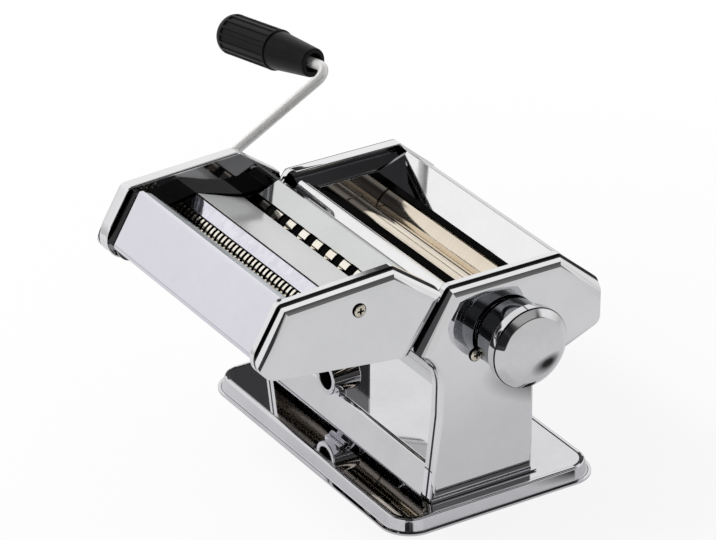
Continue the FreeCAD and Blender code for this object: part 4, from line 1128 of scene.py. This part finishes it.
@dataclass
class ThicknessKnob:
    """Domed knob with its neck and the dial plate behind it."""

    centre: Place = (10.0, 0.0, 102.0)
    cap_r: float = 23.5
    bore_r: float = 17.3
    cap_back: float = -105.6
    skirt: float = 5.6
    bevel: float = 4.6
    bevel_depth: float = 3.4
    dome: float = 2.2
    dome_power: float = 2.0
    dome_edge: float = 0.3
    dome_rings: int = 14
    wall: float = 1.4
    crease_front: float = 0.3
    crease_back: float = 0.32

    def cap(self) -> None:
        """Turns the domed cap and paints a dark line of shade on the edge between its skirt and its
        bevel.
        """
        cap_r, back = self.cap_r, self.cap_back
        edge = back - self.skirt
        face = edge - self.bevel_depth
        face_r = cap_r - self.bevel
        dome_r = face_r - self.dome_edge
        profile = [
            (0.0, face + self.wall), (self.bore_r, face + self.wall), (self.bore_r, back),
            (cap_r - 0.4, back), (cap_r - 0.1, back - 0.1), (cap_r, back - 0.4),
            (cap_r, edge + 0.5), (cap_r - 0.12, edge + 0.1), (cap_r - 0.5, edge - 0.35),
            (face_r + 0.6, face + 0.45), (face_r + 0.2, face + 0.12), (dome_r, face - 0.03)]
        for i in range(1, self.dome_rings):
            r = dome_r * (1 - i / self.dome_rings)
            profile.append((r, face - self.dome * (1 - (r / face_r) ** self.dome_power)))
        profile.append((0.0, face - self.dome))
        piece = Bench.turn("knob_dome", self.centre, (0, 1, 0), profile)
        Bench.smooth(piece, 28.0)
        fit(piece, CHROME_KNOB, "knob", "knob_cap")
        # painted shade: a dark line on the edge between the skirt and the bevel
        Bench.paint(piece, PAINTED_CREASE_SHADE, lambda at, n: (
            edge - self.crease_front < at.y < edge + self.crease_back and abs(n.y) < 0.95))

    def build(self) -> None:
        """Builds the knob."""
        self.cap()
        NECK_CHROME.dress(Bench.copy_of("knob_hub", "knob_neck", 0.2))
        CHROME_KNOB.dress(Bench.copy_of("dial_plate", "dial_flange", 0.2))


@dataclass
class Crank:
    """Bent crank rod with its ribbed plastic grip."""

    corner: Place = (23.6, 113.0, 173.5)
    way: Place = (-0.163, 0.982, -0.085)
    start: float = 15.0
    rod_r: float = 3.0
    bend_r: float = 8.5
    rod_reach: float = 85.0
    plug_axis: Point = (-64.9, 124.5)
    plug_r: float = 3.32
    plug_flat: float = 2.52
    plug_start: float = 78.6
    plug_end: float = 88.9
    flat_block: float = 40.0
    length: float = 77.0
    radius: float = 12.25
    neck_r: float = 11.4
    face_r: float = 8.65
    taper: float = 31.0
    mouth_r: float = 5.6
    mouth_depth: float = 5.0
    bore_r: float = 3.05
    bore_depth: float = 66.0
    end_r: float = 7.0
    end_steps: int = 9
    flutes: int = 16
    flute_width: int = 4
    flute_depth: float = 0.9
    flute_slope: float = 0.3
    flute_start: float = 0.8
    flute_end: float = 0.5
    steps: int = 96

    def grip(self) -> None:
        """Turns the grip, presses its flutes in and rounds its edges."""
        way = Vector(self.way).normalized()
        face = Vector(self.corner) + way * self.start
        radius, taper, end_r, tip = self.radius, self.taper, self.end_r, self.length - self.end_r
        profile: list[Point] = [
            (0.0, self.bore_depth), (self.bore_r, self.bore_depth), (self.bore_r, self.mouth_depth),
            (self.mouth_r, self.mouth_depth), (self.mouth_r, 0.6), (self.mouth_r + 0.5, 0.0),
            (self.face_r - 0.9, 0.0), (self.face_r - 0.2, 0.3), (self.face_r, 1.0),
            (self.neck_r, taper), (radius - 0.25, taper), (radius, taper + 0.3),
            (radius, taper + 1.0), (radius, tip)]
        for i in range(1, self.end_steps):
            angle = math.radians(90 * i / self.end_steps)
            profile.append((radius - end_r + end_r * math.cos(angle),
                            tip + end_r * math.sin(angle)))
        profile += [(radius - end_r, self.length), (0.0, self.length)]
        piece = Bench.turn("ribbed_grip", face, way, profile, self.steps)
        Bench.edit(piece)
        per_flute = self.steps // self.flutes
        frame_x = way.orthogonal().normalized()
        frame_y = way.cross(frame_x)

        def on_flute(item: bmesh.types.BMFace) -> bool:
            """Whether a face lies in one of the flutes."""
            place = item.calc_center_median() / MM - face
            along = place.dot(way)
            reach = (place - way * along).length
            if reach < radius - 0.6 or not taper + self.flute_start < along < tip - self.flute_end:
                return False
            turn = math.atan2(place.dot(frame_y), place.dot(frame_x)) / (2 * math.pi) * self.steps
            return int(math.floor(turn)) % per_flute < self.flute_width

        LOG.info("flute faces: %d", Bench.pick(Kind.FACES, on_flute))
        bpy.ops.mesh.inset(thickness=self.flute_slope * MM, depth=-self.flute_depth * MM,
                           use_even_offset=True)
        Bench.clear()
        Bench.ease_edges(piece, 0.22, 24.0, 3)
        fit(piece, GRIP_PLASTIC, "grip", "crank_grip")

    def bar(self) -> None:
        """Bends the rod and joins the flatted plug to its end."""
        corner = Vector(self.corner)
        x, z = self.plug_axis
        places = [Vector((x, self.plug_end, z)), Vector((x, corner.y, z)), corner,
                  corner + Vector(self.way).normalized() * self.rod_reach]
        rod = Bench.rod("crank_bar", places, self.rod_r, self.bend_r)
        Bench.ease_edges(rod, 0.3, 60.0)
        plug = Bench.turn("plug", (x, 0, z), (0, 1, 0), [
            (0.0, self.plug_start), (self.plug_r - 0.3, self.plug_start),
            (self.plug_r, self.plug_start + 0.3), (self.plug_r, self.plug_end),
            (0.0, self.plug_end)], steps=64)
        for way in (1, -1):
            height = z + way * (self.plug_flat + self.flat_block / 2)
            Bench.cut(plug, Bench.block("plug_tool", (x, self.plug_start, height),
                                        (self.flat_block,) * 3))
        Bench.smooth(plug, 30.0)
        fit(Bench.join("crank_bar", [rod, plug]), CHROME_CRANK, "crank", "crank_rod")

    def build(self) -> None:
        """Builds the grip and finishes the rod."""
        self.grip()
        self.bar()


@dataclass
class Fasteners:
    """Side screws with cross recesses and the small pin beside one of them."""

    head_r: float = 4.0
    height: float = 1.6
    shank_r: float = 1.9
    cross_reach: float = 2.0
    cross_half: float = 0.55
    cross_depth: float = 0.9
    dark_rim: float = 0.5
    dark_drop: float = 0.6
    pin_r: float = 0.95
    pin_start: float = 82.0
    pin_proud: float = 1.3
    pin: Point = (-5.2, 91.0)
    body: Sequence[tuple[float, float, Side, float]] = (
        (-9.89, 93.3, Side.NEAR, 80.5), (-9.89, 93.3, Side.FAR, 67.0))
    attachment: Sequence[tuple[float, float, Side, float]] = (
        (-82.88, 140.7, Side.NEAR, 80.5), (-79.11, 133.5, Side.FAR, 67.0))

    def screw(self, name: str, x: float, z: float, side: Side, tip: float) -> Piece:
        """Turns one screw and cuts its cross.

        Args:
            name: name of the screw.
            x: place of its axis.
            z: height of its axis.
            side: side of the machine that it is on.
            tip: distance of its tip from the middle plane.

        Returns:
            The screw.
        """
        top, head = FACE_Y + self.height, self.head_r
        made = Bench.turn(name, (x, 0, z), (0, side.value, 0), [
            (0.0, tip), (self.shank_r, tip + 0.4), (self.shank_r, FACE_Y + 0.02),
            (head - 0.15, FACE_Y + 0.02), (head, FACE_Y + 0.3), (head - 0.1, FACE_Y + 0.65),
            (head - 0.5, FACE_Y + 1.05), (head - 1.3, top - 0.18), (head - 2.3, top - 0.03),
            (0.0, top)], steps=48)
        for along, across in ((self.cross_reach, self.cross_half),
                              (self.cross_half, self.cross_reach)):
            Bench.cut(made, Bench.block(name + "_tool", (x, side.value * (top + 0.1), z),
                                        (2 * along, 2 * self.cross_depth, 2 * across)))
        Bench.smooth(made, 30.0)
        return made

    def build(self) -> None:
        """Builds the screws and the pin."""
        x, z = self.pin
        edge, top = FACE_Y + self.pin_proud, FACE_Y + self.height
        pin = Bench.turn("small_pin", (x, 0, z), (0, -1, 0), [
            (0.0, self.pin_start), (self.pin_r, self.pin_start + 0.2), (self.pin_r, edge - 0.35),
            (self.pin_r - 0.3, edge - 0.05), (0.0, edge)], steps=32)
        Bench.smooth(pin, 35.0)
        sets = (("body_cross_screws", "body", "body_side_fasteners", self.body, [pin]),
                ("attachment_cross_screws", "cutter_attachment", "attachment_side_screws",
                 self.attachment, []))
        for name, body, node, places, more in sets:
            made = [self.screw(f"{name}_{index}", *place) for index, place in enumerate(places)]
            joined = fit(Bench.join(name, made + more), SCREW_STEEL, body, node)

            def in_cross(at: Vector, n: Vector) -> bool:
                """Whether a face lies in a cross recess or under a head's rim, where shade is
                painted black.
                """
                depth = top - abs(at.y)
                near = min(math.hypot(at.x - place[0], at.z - place[1]) for place in places)
                if near > self.head_r - self.dark_rim:
                    return depth > self.dark_drop
                return near < self.cross_reach + 0.1 and depth > 0.12 and (
                    depth > self.cross_depth - 0.15 or abs(n.y) < 0.5)

            # painted shade: black in the cross recesses and under the heads' rims
            Bench.paint(joined, PAINTED_BLACK_SHADE, in_cross)


@dataclass
class Studio:
    """Pale floor, soft light and the camera."""

    azimuth: float = 328.1
    elevation: float = 27.7
    place: Place = (-1032.7, -1613.2, 1107.5)
    lens: float = 197.55
    lamp_place: Place = (-750.0, 650.0, 1200.0)
    lamp_target: Place = (0.0, 0.0, 80.0)
    lamp_size: float = 500.0
    lamp_watts: float = 14.0
    floor_r: float = 620.0
    # painted shadow: a dark oval on the floor, seen only in reflections; Y is stretched by its
    # squeeze before the distance is taken
    spot_squeeze: Place = (1.0, 1.4, 1.0)
    spot: Place = (112.0, -263.0, 0.0)
    # grey levels of the surroundings by height, from 0 straight down to 1 straight up
    low_side: Path = (
        (0.0, 0.65), (0.5, 0.65), (0.56, 0.6), (0.62, 0.18), (0.70, 0.09), (0.755, 0.09),
        (0.78, 0.4), (0.845, 0.45), (0.86, 0.95), (0.9, 0.95), (0.912, 0.03), (1.0, 0.03))
    window: Path = (
        (0.0, 0.6), (0.49, 0.6), (0.52, 0.85), (0.62, 0.9), (0.64, 0.04), (0.655, 0.04),
        (0.665, 0.7), (0.675, 0.7), (0.69, 0.03), (1.0, 0.03))
    backdrop: Path = (
        (0.0, 0.5), (0.46, 0.6), (0.5, 0.72), (0.57, 0.86), (0.62, 0.95), (0.80, 0.92),
        (0.88, 0.82), (0.905, 0.0), (1.0, 0.0))

    def world(self) -> None:
        """Makes the surroundings: a backdrop behind, a soft box in front, a dark room between."""
        made = bpy.data.worlds.new("studio")
        made.use_nodes = True
        bpy.context.scene.world = made
        shader = Shader(made.node_tree)
        way = shader.node("TexCoord", output="Generated")
        x, y, z = (shader.node("SeparateXYZ", {}, {0: way}, axis) for axis in ("X", "Y", "Z"))
        facing = (x * -0.53) + (y * -0.85)
        aside = (x * 0.85) - (y * 0.53)
        height = z * 0.5 + 0.5
        noise = shader.node("TexNoise", {}, {"Vector": way, "Scale": 2.6, "Detail": 1.0})
        dark = shader.mix(shader.spread(noise, 0.45, 0.6), (0.018, 0.018, 0.019),
                          (0.085, 0.085, 0.088))
        low_side, window, backdrop = (
            shader.ramp(height, stops) for stops in (self.low_side, self.window, self.backdrop))
        boxed = shader.mix(shader.spread(aside, 0.2, 0.32), dark, low_side)
        front = shader.mix(shader.spread(aside, -0.30, -0.26, 1.0, 0.0), boxed, window)
        patch = (shader.spread(aside, -0.045, -0.041)
                 * shader.spread(aside, -0.013, -0.009, 1.0, 0.0)
                 * shader.spread(height, 0.728, 0.733))
        patched = shader.mix(patch, backdrop, (0.05, 0.05, 0.052))
        behind = shader.mix(shader.spread(height, 0.88, 0.905), patched, dark)
        around = shader.mix(shader.spread(facing, 0.02, 0.16), behind, front)
        paths = shader.node("LightPath", output="Is Camera Ray")
        seen = shader.mix(paths, around, (1.0, 1.0, 1.0))
        shader.surface(shader.node("Background", {}, {"Color": seen, "Strength": 1.0}),
                       "OutputWorld")

    def floor(self) -> None:
        """Makes the round pale floor, white to the camera and a little darker in the metal, with a
        painted shadow that the camera does not see directly.
        """
        Bench.clear()
        bpy.ops.mesh.primitive_circle_add(vertices=128, radius=self.floor_r * MM, fill_type="NGON",
                                          location=(0, 0, -0.0002))
        piece = Bench.settle("studio_floor")
        made = bpy.data.materials.new("pale_floor")
        made.use_nodes = True
        shader = Shader(made.node_tree)
        camera = shader.node("LightPath", output="Is Camera Ray")
        glossy = shader.node("LightPath", output="Is Glossy Ray")
        place = shader.node("TexCoord", output="Object")
        far = shader.node("VectorMath", {"operation": "LENGTH"}, {0: place}, "Value")
        squeezed = shader.node("VectorMath", {"operation": "MULTIPLY"},
                               {0: place, 1: self.spot_squeeze})
        away = shader.node("VectorMath", {"operation": "DISTANCE"},
                           {0: squeezed, 1: Vector(self.spot) * MM}, "Value")
        # painted shadow: the floor darkens round the oval for every ray but the camera's
        shade = shader.mix(shader.spread(away, 0.014, 0.046), (0.03, 0.03, 0.03),
                           (0.78, 0.78, 0.79))
        colour = shader.mix(camera, shade, (1.0, 1.0, 1.0))
        bare = shader.node("BsdfDiffuse", {}, {"Color": colour})
        lit = shader.node("Emission", {}, {"Color": colour, "Strength": 1.0})
        share = camera * shader.spread(far, 0.12, 0.5, 0.88, 1.0) + glossy * 0.6
        shader.surface(shader.node("MixShader", {}, {0: share, 1: bare, 2: lit}))
        piece.data.materials.append(made)

    @staticmethod
    def hang(data: bpy.types.ID, place: Vector, way: Vector) -> Piece:
        """Hangs a lamp or a camera in the studio.

        Args:
            data: the lamp or the camera.
            place: its place in metres.
            way: direction in which it looks.

        Returns:
            The object that holds it.
        """
        held = bpy.data.objects.new(data.name, data)
        bpy.context.scene.collection.objects.link(held)
        held.location = place
        held.rotation_mode = "QUATERNION"
        held.rotation_quaternion = way.to_track_quat("-Z", "Y")
        return held

    def lamp(self) -> None:
        """Hangs a soft square lamp that looks at the machine."""
        light = bpy.data.lights.new("key_lamp", "AREA")
        light.shape = "SQUARE"
        light.size = self.lamp_size * MM
        light.energy = self.lamp_watts
        place = Vector(self.lamp_place) * MM
        self.hang(light, place, Vector(self.lamp_target) * MM - place).visible_glossy = False

    def camera(self) -> None:
        """Sets the camera at the photograph's place."""
        turn, rise = math.radians(self.azimuth), math.radians(self.elevation)
        back = Vector((math.sin(turn) * math.cos(rise), -math.cos(turn) * math.cos(rise),
                       math.sin(rise)))
        view = bpy.data.cameras.new("camera")
        view.sensor_width = 36.0
        view.lens = self.lens
        view.clip_start, view.clip_end = 0.1, 20.0
        bpy.context.scene.camera = self.hang(view, Vector(self.place) * MM, -back)

    def build(self) -> None:
        """Builds the whole studio."""
        self.world()
        self.floor()
        self.lamp()
        self.camera()
        bpy.context.scene.view_settings.view_transform = "Standard"


def main() -> None:
    """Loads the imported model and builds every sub-assembly."""
    logging.basicConfig(level=logging.INFO, format="%(message)s")
    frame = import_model()
    NODES.update(frame["nodes"])
    for body, members in frame["record"]["behaviour"]["bodies"].items():
        NODE_BODY.update({node: body for node in members})
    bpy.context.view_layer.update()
    for finish, nodes in CARRIED_NODES.items():
        finish.dress(*[NODES[node] for node in nodes])
    for builder in (Base(), BodyShell(), SmoothRollers(), Cutters(), Attachment(), ThicknessKnob(),
                    Crank(), Fasteners(), Studio()):
        LOG.info("building %s", type(builder).__name__)
        builder.build()
    Bench.clear()


if __name__ == "__main__":
    main()
